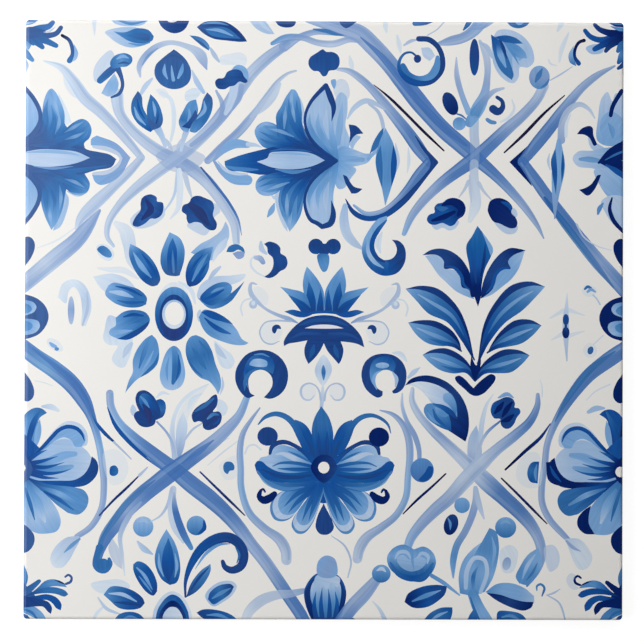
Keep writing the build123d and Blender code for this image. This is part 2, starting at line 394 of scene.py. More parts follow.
def paint_centre_flower():
    """The same flower whole, between the two upper crossings, with its petals open to the right."""
    brush((-28.2, 40.5), (-26, 43), (-23, 44.7), (-19.6, 44.5), width=(0.6, 1.8, 2.4, 1.6),
          tones=(LAVENDER, SOFT, SOFT))
    brush((-19.6, 44.6), (-17.4, 44.4), (-16, 43.8), width=(1.2, 0.9, 0.1), tones=PALE)
    brush((-28.2, 40.3), (-26.2, 37.8), (-23, 35.8), (-19.7, 35.5), width=(0.6, 1.6, 2.6, 2.6),
          tones=(LAVENDER, SOFT, SOFT))
    brush((-27.2, 40.2), (-25.4, 38.2), (-22.8, 37.2), (-19.6, 37), width=(0.3, 0.9, 0.9, 0.3),
          tones=PALE)
    # pale petals that open to the right
    blob((2.2, 58), (2.4, 60.4), (4, 61.4), (5.6, 60.6), (6.2, 57), (4.4, 55), tones=PALE, opacity=0.6)
    shape(((-0.5, 43), (1.6, 50), (2.6, 56), (4, 58), (5.4, 57), (5.7, 53), (5.2, 49.5), (6.3, 46),
           (6, 43)), ((6, 43), (3, 40.5), (-0.5, 43)), tones=(SOFT, LIGHT, LIGHT, LIGHT),
          axis=((2, 41), (4, 58)))
    brush((3.2, 45), (3.8, 50), (4.4, 55.4), width=(1.4, 1.6, 0.2), tones=(AZURE, SOFT), opacity=0.5)
    shape(((1.4, 41.4), (4.5, 44.2), (7.5, 43.4), (10.4, 42.4), (12.6, 42.6)),
          ((12.6, 42.6), (11, 40.2), (8, 39.2), (4, 38.8), (1.4, 39.6)), ((1.4, 39.6), (1.4, 41.4)),
          tones=(AZURE, SOFT, LIGHT, SOFT))
    brush((4, 41.4), (7, 41), (9.6, 40.8), width=(0.4, 1.6, 1.2), tones=(SOFT, AZURE), opacity=0.5)
    shape(((-0.5, 38), (2, 36), (3.4, 33.4), (5, 33.6), (6.6, 36), (8, 38.4), (4, 40)),
          ((4, 40), (1, 40), (-0.5, 38)), tones=(AZURE, SOFT, LIGHT), axis=((0, 39), (6, 34)))
    # the petals above and below
    brush((-13.6, 31.7), (-12.6, 31), (-12.2, 32.4), width=(0.2, 1, 0.2), tones=PALE)
    shape(((-11.6, 34), (-12.6, 31), (-12, 27.4), (-10.4, 23.6), (-9.4, 22.4)),
          ((-9.4, 22.4), (-10, 28), (-11.6, 34)), tones=PALE)
    shape(((-9, 44), (-13, 43.6), (-15.6, 43.9), (-17.4, 46.2), (-17.9, 48), (-17, 49.6), (-15.1, 50.4),
           (-12.9, 49.9), (-11.6, 49)), ((-11.6, 49), (-9, 46.6), (-9, 44)),
          tones=(COBALT, ROYAL, AZURE, SOFT), axis=((-9, 44), (-16.8, 50)))
    shape(((-7.9, 58), (-6.4, 56.6), (-5.3, 53.6), (-5.2, 50)), ((-5.2, 50), (-7.2, 50), (-7.9, 58)),
          tones=PALE)
    shape(((-8.6, 58.7), (-9.9, 56.9), (-11.2, 54.3), (-12.4, 52.2), (-12.3, 49.1), (-11.8, 46),
           (-10, 43.8)), ((-10, 43.8), (-3, 43)),
          ((-3, 43), (-4.6, 46), (-5.8, 49.6), (-5.9, 53), (-6.4, 56), (-7.6, 58.5), (-8.6, 58.7)),
          tones=(COBALT, ROYAL, ROYAL, AZURE, SOFT), axis=((-6, 43), (-8.4, 58.7)))
    shape(((-9, 36.6), (-13, 36.9), (-16.2, 36.6), (-17.5, 35), (-17.5, 33.2), (-16.4, 31.9),
           (-14.3, 31.5), (-12.3, 32.2), (-10.7, 33.6)), ((-10.7, 33.6), (-8.6, 35), (-9, 36.6)),
          tones=(COBALT, ROYAL, AZURE, SOFT), axis=((-9, 37), (-16, 31.6)))
    shape(((-10, 36.8), (-11.2, 33.6), (-11.8, 30.4), (-11.2, 27.4), (-9.8, 24.4), (-8.9, 22.4)),
          ((-8.9, 22.4), (-7.2, 24.6), (-6, 27), (-5.4, 30), (-5, 33), (-3, 37.4)),
          ((-3, 37.4), (-10, 36.8)), tones=(COBALT, ROYAL, AZURE, AZURE, LIGHT),
          axis=((-6, 37.6), (-9, 22.4)))
    brush((-14.5, 26.2), (-13.4, 28), (-12.8, 29.6), width=(0.4, 1.5, 0.3), tones=SOFT)
    # the dark heart
    shape(((-25.5, 40.3), (-21.6, 41.8), (-15.6, 43.4), (-12, 44.2), (-7, 44.3), (-2.9, 43.4),
           (0.2, 42.1), (3.6, 40.5)), ((3.6, 40.5), (1.3, 39.2), (-1.3, 38.1), (-5, 37.2), (-10, 36.8),
                                       (-16.7, 36.9)),
          ((-16.7, 36.9), (-21.6, 37.7), (-24, 37.9), (-25.3, 39), (-25.5, 40.3)),
          tones=(ROYAL, COBALT, NAVY, NAVY, NAVY))
    brush((-25, 38.9), (-22, 38.3), (-17, 38.2), width=(0.6, 1.2, 0.3), tones=AZURE, opacity=0.7)
    brush((-14, 42.9), (-9, 43.6), (-3.4, 42.8), width=(0.2, 0.8, 0.2), tones=ROYAL, opacity=0.8)
    # streaks that sweep from the heart's tip into the petals, dark ones and then light ones
    for points in (((1, 41.6), (-4, 44.2), (-9.6, 45.4), (-13.8, 46.6), (-16.7, 47.9)),
                   ((-4, 43.6), (-8, 44.2), (-12, 44.5), (-14.6, 45.1), (-16.6, 46.2)),
                   ((1, 42), (-4.4, 45.2), (-7.6, 48.8), (-9, 52.4), (-9.3, 56)),
                   ((0, 42.6), (-3.6, 44.6), (-5.8, 48), (-7, 52), (-7.2, 56)),
                   ((-3, 43), (-7, 44.8), (-9.8, 47), (-11.2, 50), (-11, 52.8)),
                   ((1, 39.2), (-4, 36.9), (-9.6, 36), (-13.6, 35), (-16.6, 33.8)),
                   ((-4, 37.4), (-8, 37), (-12, 36.8), (-15, 36.2), (-17, 35)),
                   ((1, 39), (-4.4, 35.8), (-7.6, 32), (-8.6, 28.8), (-8.8, 25.4)),
                   ((0, 38.4), (-3.6, 36.4), (-5.6, 33.4), (-6.4, 30.4), (-7, 26.8)),
                   ((-3, 37.8), (-7, 36), (-9.6, 33.6), (-10.6, 30.6), (-10.2, 27.4))):
        brush(*points, width=(0.5, 1.4, 1.6, 1.2, 0.1), tones=(NAVY, NAVY, COBALT, ROYAL, ROYAL),
              opacity=0.75)
    for points in (((-17.2, 48.6), (-15.4, 49.9), (-12.6, 49.3)),
                   ((-8, 46.6), (-11.4, 48), (-14.6, 48.6)), ((-8.3, 58.4), (-8.6, 56.4), (-8.2, 54)),
                   ((-10.4, 48.6), (-10.2, 51.4), (-10, 54.6)),
                   ((-7.6, 50.4), (-8.2, 53.4), (-8.2, 55.4)),
                   ((-17, 32.8), (-14.4, 31.9), (-11.8, 32.8)),
                   ((-9, 35), (-12, 34), (-15, 32.9)), ((-8.9, 23), (-8.9, 25), (-8.3, 27.4)),
                   ((-9.6, 32), (-9.6, 29), (-9.6, 26))):
        brush(*points, width=(0.3, 0.9, 0.1), tones=(SOFT, LIGHT, SOFT), opacity=0.6)
    # the two petals with a dark outline
    for s in (1, -1):
        def at(*points):
            return [(x, 40.5 + s * (y - 40.5)) for x, y in points]
        tip = (0.2, 59.7) if s > 0 else (-0.6, 57.3)
        shape(at((3.6, 40.6), (-0.8, 42.9), (-3.9, 46.5), (-5, 49.6), (-4.9, 52.6), (-3.6, 55.4),
                 (-1.9, 57.4 if s > 0 else 56.4), tip),
              at(tip, (1.7, 56.6), (2.3, 53.4), (2.2, 49), (3, 45), (3.6, 40.6)),
              tones=(AZURE, SOFT, LIGHT, LIGHT), axis=at((0, 42), (-0.6, 57)))
        brush(*at((2, 41.5), (-0.6, 43.8), (-3, 47), (-4, 50), (-3.8, 52.6)),
              width=(0.4, 1.6, 1.8, 1.2, 0.1), tones=(ROYAL, AZURE, AZURE, SOFT), opacity=0.8)
        brush(*at((1.8, 43.4), (-0.6, 46.4), (-1.8, 49.6), (-1.6, 52.8)), width=(0.3, 1.4, 1.2, 0.1),
              tones=(SOFT, AZURE, SOFT), opacity=0.5)
        brush(*at((1, 46), (0.2, 50), (0.4, 53.6)), width=(0.3, 1.5, 0.2), tones=PALE, opacity=0.5)
        brush(*at((3.2, 40.7), (-0.4, 42.7), (-3.7, 46.2), (-5, 49.6), (-4.9, 52.6), (-3.6, 55.5),
                  (-1.9, 57.6 if s > 0 else 56.4), tip), width=(0.3, 1.1, 1, 0.8, 0.7, 0.8, 1, 1.2),
              tones=NAVY)
        brush(*at(tip, (1.5, 56.4), (2.2, 54), (1.7, 50.6)), width=(1.2, 1.6, 1.2, 0.1), tones=NAVY)
    shape(((-17.3, 40.2), (-14.6, 41.2), (-14, 42.4), (-11.5, 42.8), (-5, 42.7), (-2.5, 42), (0, 40.6)),
          ((0, 40.6), (-2.5, 39.4), (-6, 38.5), (-10, 38.3), (-13.5, 38.8), (-17.3, 40.2)),
          tones=(PALE, LIGHT, LIGHT))
    brush((-13.4, 42.3), (-9, 42.4), (-3.6, 41.9), width=(0.2, 0.7, 0.2), tones=SOFT, opacity=0.7)
    brush((-12.6, 38.3), (-8, 37.6), (-3.6, 38.4), width=(0.2, 1, 0.2), tones=AZURE, opacity=0.9)
    # to the right: a dark horn above and below, the arch, its leaf and the spindle
    shape(((6.4, 47.6), (8.4, 47), (9.2, 46.6)), ((9.2, 46.6), (7.6, 44.6), (7, 43)),
          ((7, 43), (6.2, 45), (6.4, 47.6)), tones=LIGHT)
    shape(((6, 49.8), (8, 49.4), (9.8, 47.5)), ((9.8, 47.5), (7.8, 47.1), (6.2, 45)),
          ((6.2, 45), (6.4, 47.5), (6, 49.8)), tones=NAVY)
    shape(((4.6, 37), (5.2, 35), (6.8, 32.2)), ((6.8, 32.2), (8.2, 32.3), (9.6, 33.4)),
          ((9.6, 33.4), (7.4, 34), (5.6, 36.6)), ((5.6, 36.6), (4.6, 37)), tones=NAVY)
    brush((5.7, 51.2), (7.4, 54), (10.3, 55.8), (13, 55), (15.2, 53.6), width=(0.3, 1.2, 1.4, 1.2, 0.4),
          tones=(PALE, HAZE))
    brush((11.2, 55), (13.4, 53.2), (14.6, 50.4), (14.8, 47), (13.4, 43.6), (11, 41),
          width=(0.6, 0.9, 1, 0.8, 0.9, 0.8), tones=(HAZE, HAZE, SOFT))
    shape(((11.4, 42.3), (12.2, 45), (13.8, 47.8), (14.9, 49)),
          ((14.9, 49), (14.7, 46.8), (13.4, 44), (11.4, 42.3)), tones=ROYAL)
    brush((18, 45), (18.5, 40.4), (17.6, 36.5), width=(0.2, 1.2, 0.2), tones=PALE)
    brush((21.2, 44), (21.4, 40.6), (21, 37.5), width=(0.2, 0.9, 0.2), tones=MIST)
    shape(((15.4, 49), (13.8, 45), (12.9, 41), (13.2, 38), (14.2, 35), (15.4, 29)),
          ((15.4, 29), (17, 34), (18.2, 38), (18.3, 41), (17.4, 45), (15.4, 49)),
          tones=(SOFT, AZURE, AZURE, SOFT))
    shape(((17.4, 44.6), (18.3, 41), (18, 37.5), (17, 34)), ((17, 34), (16.8, 39.5), (17.4, 44.6)),
          tones=COBALT)
    shape(((14.2, 44.6), (13, 41), (13.4, 37.4), (14.6, 33.4)),
          ((14.6, 33.4), (14.7, 39.5), (14.2, 44.6)), tones=ROYAL)


def paint_top_row():
    """The small motifs along the top edge, from the left to the right."""
    shape(((-55.2, 77), (-53.5, 75.2), (-50, 74.5), (-46.5, 74.9), (-45, 76.1)),
          ((-45, 76.1), (-46, 77.4), (-55.2, 77)), tones=LIGHT)
    brush((-53.6, 76.4), (-49.5, 75.2), (-45.6, 75.9), width=(0.3, 0.8, 0.3), tones=AZURE)
    brush((-54, 77), (-49, 76.6), (-45.5, 77), width=(0.5, 0.8, 0.3), tones=ROYAL)
    blob((-56, 73), (-53, 74.1), (-48, 74.2), (-44.4, 72.8), (-44.2, 71), (-46.5, 69.6), (-49.5, 69.1),
         (-52.5, 70), (-54.6, 71.5), tones=(PALE, LIGHT, SOFT))
    shape(((-53.9, 73.2), (-51, 73), (-48, 74), (-45, 73.6), (-43.6, 72)),
          ((-43.6, 72), (-44, 70.9), (-46, 70.2), (-49.5, 70.6), (-53.9, 73.2)),
          tones=(AZURE, ROYAL, ROYAL))
    shape(((-50.4, 72.3), (-47, 72.9), (-44.6, 72.4)),
          ((-44.6, 72.4), (-44.8, 71), (-47.5, 71.2), (-50.4, 72.3)), tones=(ROYAL, DENIM))
    brush((-50, 70.2), (-47, 69.8), (-44.6, 70.4), width=(0.2, 0.6, 0.2), tones=AZURE)
    # the fig under its arch, and the dark crescent above
    brush((-47, 61.7), (-47.3, 64), (-45.8, 66.8), (-43, 69.3), (-39.5, 70.4), (-35.5, 69.6),
          (-32, 67.6), (-30.1, 63.6), width=(0.5, 1.7, 1.7, 1.4, 1.2, 1.6, 2.8, 0.3),
          tones=(HAZE, LAVENDER, HAZE, HAZE, LAVENDER), opacity=0.9)
    brush((-46.6, 64.6), (-45, 67), (-42.6, 69), width=(0.2, 0.7, 0.2), tones=SLATE, opacity=0.4)
    brush((-29.2, 69), (-28, 67), (-27, 65.6), width=(0.6, 1.2, 0.5), tones=HAZE)
    shape(((-38.5, 68.7), (-37.2, 67.8), (-35.2, 65.8), (-34.1, 63), (-34.6, 60.4), (-36.5, 58.9),
           (-39, 58.6), (-41.6, 59.6), (-43.3, 62), (-43.1, 64.6), (-41.2, 66.6), (-39.8, 67.7),
           (-38.5, 68.7)), tones=(DENIM, (50, 98, 160)))
    brush((-41.6, 65.8), (-38.6, 67.4), (-35.8, 65.8), width=(0.2, 1.5, 0.2), tones=DENIM, opacity=0.7)
    brush((-40.8, 64.9), (-40.9, 62.9), (-40.1, 61.2), width=(0.2, 1, 0.3), tones=SOFT)
    brush((-39.1, 64.5), (-38.9, 62.6), (-38.6, 60.9), width=(0.2, 0.7, 0.9), tones=SOFT)
    brush((-36.2, 65), (-36.6, 63.1), (-37.4, 61.4), width=(0.3, 1.1, 0.5), tones=(AZURE, SOFT))
    shape(((-42.8, 77), (-41.8, 74.6), (-40, 73.2), (-38, 72.8), (-36, 73.6), (-34.9, 75.2),
           (-34.5, 77)), ((-34.5, 77), (-37, 76.4), (-38.5, 75.6), (-40, 75.8), (-40.6, 77)),
          ((-40.6, 77), (-42.8, 77)), tones=(DENIM, NAVY, NAVY))
    brush((-40, 76.8), (-38.4, 76.2), (-37, 76.8), width=(0.3, 0.8, 0.3), tones=PALE)
    # the bean with its crescent
    shape(((-53.6, 62.6), (-52.5, 60), (-53.2, 57.6), (-55, 56.6), (-56.9, 57.4)),
          ((-56.9, 57.4), (-55.5, 60), (-53.6, 62.6)), tones=(LIGHT, SOFT, LIGHT))
    brush((-53, 64.2), (-51.9, 61.8), (-51.5, 59.4), (-52.3, 57.4), (-54.3, 56.4),
          width=(1.8, 1.1, 0.9, 0.9, 0.5), tones=(DENIM, DENIM))
    brush((-53.6, 64), (-55.6, 62.2), (-57.2, 60.7), width=(1.8, 2, 1.7), tones=(DENIM, ROYAL))
    blob((-54.7, 65.2), (-53.5, 67), (-51, 67.7), (-49.2, 66.8), (-49.1, 65.5), (-50.4, 64.3),
         (-52, 64.1), (-54.2, 63.8), tones=(ROYAL, AZURE, ROYAL), axis=((-54.7, 65), (-49, 66)))
    brush((-53, 66.2), (-51.4, 66.9), (-50, 66.4), width=(0.3, 0.9, 0.2), tones=SOFT)
    brush((-52.6, 65), (-51, 65.3), (-49.8, 65), width=(0.2, 0.6, 0.2), tones=DENIM)
    # two tulips that lean apart
    brush((-46.8, 57.4), (-45.6, 59.4), (-44, 61.2), width=(0.9, 1.3, 0.6), tones=PALE)
    brush((-42.6, 48.6), (-41.4, 46.4), (-40.6, 44), width=(2, 1.4, 0.9), tones=(LIGHT, PALE))
    shape(((-47.6, 58.1), (-49.1, 55.5), (-49.2, 52.6), (-47.8, 50), (-45.5, 48.2), (-44.3, 47.6)),
          ((-44.3, 47.6), (-43.2, 49), (-45, 51.5), (-46.3, 54), (-46.6, 56.7), (-47.6, 58.1)),
          tones=(DENIM, ROYAL, ROYAL, COBALT))
    brush((-48.5, 54), (-47.5, 51.4), (-45.6, 49.4), width=(0.2, 0.9, 0.2), tones=SOFT)
    brush((-47.7, 56), (-47.2, 53.2), (-45.8, 51), width=(0.2, 0.7, 0.2), tones=COBALT)
    shape(((-44.4, 57.3), (-42.8, 55.6), (-41.6, 53), (-41.2, 50.5), (-41.8, 49), (-44, 48)),
          ((-44, 48), (-45, 50.5), (-45.3, 53.5), (-44.4, 57.3)), tones=(ROYAL, ROYAL, DENIM))
    brush((-43.8, 55.4), (-43.3, 53.4), (-43.2, 51.6), width=(0.2, 0.8, 0.2), tones=SOFT)
    brush((-42.6, 53.8), (-42.4, 51.8), (-43, 49.6), width=(0.2, 0.6, 0.3), tones=(ROYAL, NAVY))
    brush((-45, 51), (-43.8, 49.4), (-42.6, 49.4), width=(0.3, 1.3, 0.6), tones=DENIM)
    brush((-33.9, 63.4), (-32.6, 60.4), (-30.9, 57.8), width=(0.3, 1.4, 0.9), tones=(PALE, LIGHT))
    brush((-35.2, 48), (-36, 45.6), (-36.6, 43), width=(1.6, 1.2, 0.8), tones=(HAZE, PALE))
    shape(((-32.8, 56), (-34.6, 55.4), (-36.1, 53), (-37.2, 50.2), (-36.4, 48.2), (-35, 47.5)),
          ((-35, 47.5), (-33.5, 50), (-32.3, 53), (-32.8, 56)), tones=(AZURE, AZURE, ROYAL, SOFT))
    shape(((-30, 57.8), (-28.8, 56.5), (-28.6, 54), (-29.5, 51.3), (-31.3, 48.8), (-33, 47.5),
           (-34.4, 47.8)), ((-34.4, 47.8), (-34, 50), (-31.8, 53), (-31, 56), (-30, 57.8)),
          tones=(DENIM, ROYAL, ROYAL, AZURE))
    brush((-30.8, 55.6), (-30.6, 53.4), (-32.6, 51), width=(0.2, 1, 0.2), tones=SOFT)
    shape(((-36.4, 49), (-34.4, 50.8), (-33, 53.4)),
          ((-33, 53.4), (-32.4, 52), (-33.8, 49.8), (-34.4, 48.5)), ((-34.4, 48.5), (-36.4, 49)),
          tones=(NAVY, DENIM))
    brush((-34.6, 53.6), (-34.4, 52), (-35, 50.4), width=(0.2, 0.8, 0.2), tones=SOFT, opacity=0.8)
    # leaves along the edge
    shape(((-32.7, 74.4), (-31, 75.6), (-28.5, 76.1), (-25.5, 75.8), (-22.5, 74), (-20.5, 71.8),
           (-19.9, 70.8)), ((-19.9, 70.8), (-21.5, 70.7), (-25, 71), (-28.5, 71.5), (-31, 72.8),
                            (-32.7, 74.4)), tones=(DENIM, NAVY, NAVY))
    shape(((-31, 74.1), (-28.5, 74.5), (-25, 74.2), (-21.5, 71.5)),
          ((-21.5, 71.5), (-26, 71.7), (-29, 72.3), (-31, 74.1)), tones=ROYAL)
    brush((-30.2, 73.8), (-27, 73.6), (-23.5, 72.2), width=(0.2, 0.9, 0.2), tones=SOFT)
    brush((-31.4, 75.2), (-28, 75.6), (-24.6, 74.9), width=(0.2, 0.7, 0.1), tones=AZURE)
    shape(((-34.6, 72.3), (-32, 71.9), (-30.3, 70.8), (-29.4, 69.4), (-29.6, 68.4)),
          ((-29.6, 68.4), (-31.2, 69.4), (-33, 70.9), (-34.6, 72.3)), tones=(ROYAL, AZURE))
    brush((-33.4, 71.4), (-31.4, 70.2), (-29.8, 68.8), width=(0.2, 0.6, 0.2), tones=DENIM)
    shape(((-20, 77), (-17.5, 74), (-15, 72.8), (-12.9, 72.7)),
          ((-12.9, 72.7), (-14.2, 74.6), (-16, 77)), ((-16, 77), (-20, 77)), tones=(PALE, LIGHT))
    brush((-17.4, 76.6), (-15.6, 74.8), (-13.6, 73.2), width=(0.2, 0.9, 0.1), tones=PALE)
    shape(((-13.2, 77), (-12, 75), (-10, 74.4), (-8.2, 74.7), (-7.5, 75.7), (-8, 77)),
          ((-8, 77), (-13.2, 77)), tones=(COBALT, NAVY, NAVY))
    shape(((3.4, 77), (3.8, 75.4), (5.2, 74.3), (6.6, 74.9), (8.6, 76.6)),
          ((8.6, 76.6), (8.6, 77.2), (3.4, 77)), tones=(DENIM, NAVY))
    brush((22.8, 75.6), (25, 75.9), (28.6, 76.8), width=(1.3, 1.5, 0.3), tones=(ROYAL, COBALT, ROYAL))
    # the lobed clusters
    blob((-24, 63), (-22.5, 64.8), (-20.3, 64.2), (-19.5, 62.4), (-19.8, 60.8), (-21.5, 61), tones=SOFT)
    blob((-28, 60.4), (-27.3, 61.3), (-25.8, 61.5), (-24.9, 63), (-23, 63.7), (-21.4, 63.3),
         (-20.6, 61.8), (-19.7, 60.7), (-20.3, 60.2), (-21.8, 60.6), (-23, 59.6), (-24.3, 59.3),
         (-25.5, 58.6), (-27.4, 58.9), tones=(NAVY, (36, 84, 150), NAVY))
    blob((-0.6, 68.9), (-2, 68.1), (-4, 66.6), (-4.2, 64.8), (-3, 63.4), (-1.7, 63.3), (-0.5, 62),
         (0.4, 62.3), (1, 63.4), (2.6, 63.7), (3.6, 65), (3.4, 67.2), (2, 68.2), (0.2, 68.3),
         tones=((32, 72, 138), (36, 84, 150)))
    blob((1.5, 61), (2.6, 61.3), (2.8, 60), (2.3, 58.8), (1.6, 60), tones=SOFT)
    # the spiral
    shape(((24.4, 69.4), (26.6, 69.4), (28, 67.4)), ((28, 67.4), (26.6, 66)),
          ((26.6, 66), (25, 67.2), (24.4, 69.4)), tones=PALE)
    brush((20, 70), (22, 71.2), (23.4, 71.4), width=(0.4, 0.9, 0.4), tones=HAZE)
    brush((28.6, 67), (28.6, 64.4), (27, 62), (24, 61.3), (21.2, 62.4), (19.8, 64.8),
          width=(1, 2.6, 2.4, 1.8, 1.8, 1.4), tones=(AZURE, AZURE, AZURE, ROYAL, ROYAL))
    brush((23.8, 71.7), (26.4, 71.5), (28.8, 69.5), (29.9, 66.5), (29.6, 63.4), (27.4, 60.9),
          (24.2, 60.3), (21, 61.3), (19, 63.6), (18.9, 66), (20.2, 67.9), (21.9, 68.2), (23.2, 67.3),
          width=(1.4, 1.4, 1.3, 1.3, 1.3, 1, 1.2, 1.6, 1.6, 1.1, 0.8, 0.6, 0.5),
          tones=(NAVY, NAVY, NAVY, NAVY, COBALT, COBALT, ROYAL, NAVY))
    oval((23.5, 66.6), 0.95, 1.05, tones=NAVY)
    # seeds, a forked stem and a snail
    oval((31.9, 55.2), 1.8, 3.1, tones=(NAVY, MIDNIGHT), turn=24)
    brush((33.6, 52.6), (34.8, 52.2), (35.9, 51.3), width=(0.4, 0.5, 0.3), tones=SLATE)
    brush((39.4, 71.2), (41.2, 66.5), (41.2, 61), (40.4, 57), (38.4, 53), (36.8, 50.4),
          width=(0.8, 1.8, 1.6, 2.2, 3.4, 2.4), tones=(HAZE, HAZE, LAVENDER, SOFT, AZURE), opacity=0.9)
    brush((39.6, 70.8), (41.2, 69.6), (42.4, 67), width=(0.6, 1.3, 0.4), tones=HAZE)
    brush((33.4, 67), (33.6, 62), (35, 57), (36.6, 53), width=(0.3, 1.4, 1.4, 1.6),
          tones=(HAZE, LAVENDER, SOFT), opacity=0.9)
    brush((45.5, 59.2), (43, 58.4), (40.6, 56.2), (38.2, 52.8), width=(0.6, 1.3, 1.8, 2.6),
          tones=(HAZE, LAVENDER, AZURE), opacity=0.9)
    oval((34.2, 50.1), 1.7, 1.7, tones=(AZURE, SOFT))
    brush((38, 51), (38, 47.6), (38.2, 44.6), (38.2, 40), width=(2.4, 2.4, 2.4, 2.2),
          tones=(SOFT, LAVENDER, LAVENDER), opacity=0.55)
    oval((38, 67.1), 1.25, 4.7, tones=(NAVY, NAVY, COBALT))
    # the two-lobed leaf in its pale halo
    blob((43.8, 73.8), (47, 74.1), (50.5, 72.4), (52.7, 69.4), (53.2, 66), (51.6, 64.5), (49.6, 64.6),
         (49.3, 62), (48, 60.5), (45.6, 61.4), (43.2, 64.5), (42.4, 69.5), tones=(PALE, LIGHT, PALE))
    blob((44.6, 71.8), (48, 70.6), (50.6, 67.6), (49.4, 66.2), (47.8, 67.4), (47.6, 63.4), (45.4, 66),
         tones=SOFT, opacity=0.8)
    shape(((42.2, 72.9), (42.6, 69.5), (43.6, 65.8), (45, 63.4), (47.5, 61.3)),
          ((47.5, 61.3), (48, 62.5), (47.2, 65.4), (46, 68.4), (44.6, 71.2), (42.2, 72.9)),
          tones=(COBALT, ROYAL, ROYAL))
    brush((43.6, 71), (44.7, 67.6), (46, 64.6), width=(0.2, 1.6, 0.4), tones=(COBALT, SOFT, SOFT))
    brush((44.4, 71.8), (45.4, 69.4), (46.3, 66.6), width=(0.4, 0.9, 0.1), tones=NAVY)
    shape(((43.2, 72.3), (46, 72.7), (48.6, 72), (50.4, 70.6)),
          ((50.4, 70.6), (47.6, 70.6), (45.4, 71), (43.2, 72.3)), tones=(COBALT, ROYAL))
    shape(((45.2, 71), (48.6, 70.4), (50.8, 68.6), (51.5, 66.8)),
          ((51.5, 66.8), (48.8, 67.2), (45.2, 71)), tones=(AZURE, AZURE, SOFT))
    brush((46, 70.2), (48, 67.6), (49.4, 65.2), width=(0.2, 0.6, 0.1), tones=AZURE)
    shape(((45.6, 77), (47.3, 75), (49.3, 74.5), (51.3, 75.2), (52.7, 77)), ((52.7, 77), (45.6, 77)),
          tones=(ROYAL, ROYAL))
    brush((48, 76.6), (49.4, 75.8), (51, 76.6), width=(0.3, 1, 0.3), tones=SOFT)
    # the berry, the comma and its dash
    oval((54.6, 62), 2.65, 3, tones=(SOFT, LAVENDER, AZURE))
    brush((53.6, 60.9), (54.5, 62.6), (55.3, 64.2), width=(0.5, 1.4, 0.3), tones=ROYAL, opacity=0.8)
    brush((55, 59.4), (56.4, 60.4), (57, 61.6), width=(0.2, 0.6, 0.2), tones=ROYAL, opacity=0.7)
    brush((43.8, 56.9), (45.1, 55.9), (45.2, 54.2), (44, 53.2), (42.8, 53.9),
          width=(0.9, 1, 1.3, 1.9, 2.1), tones=NAVY)
    brush((41.3, 51.2), (42.2, 50.6), (43.3, 50.4), width=(0.9, 1.1, 0.9), tones=(AZURE, AZURE))


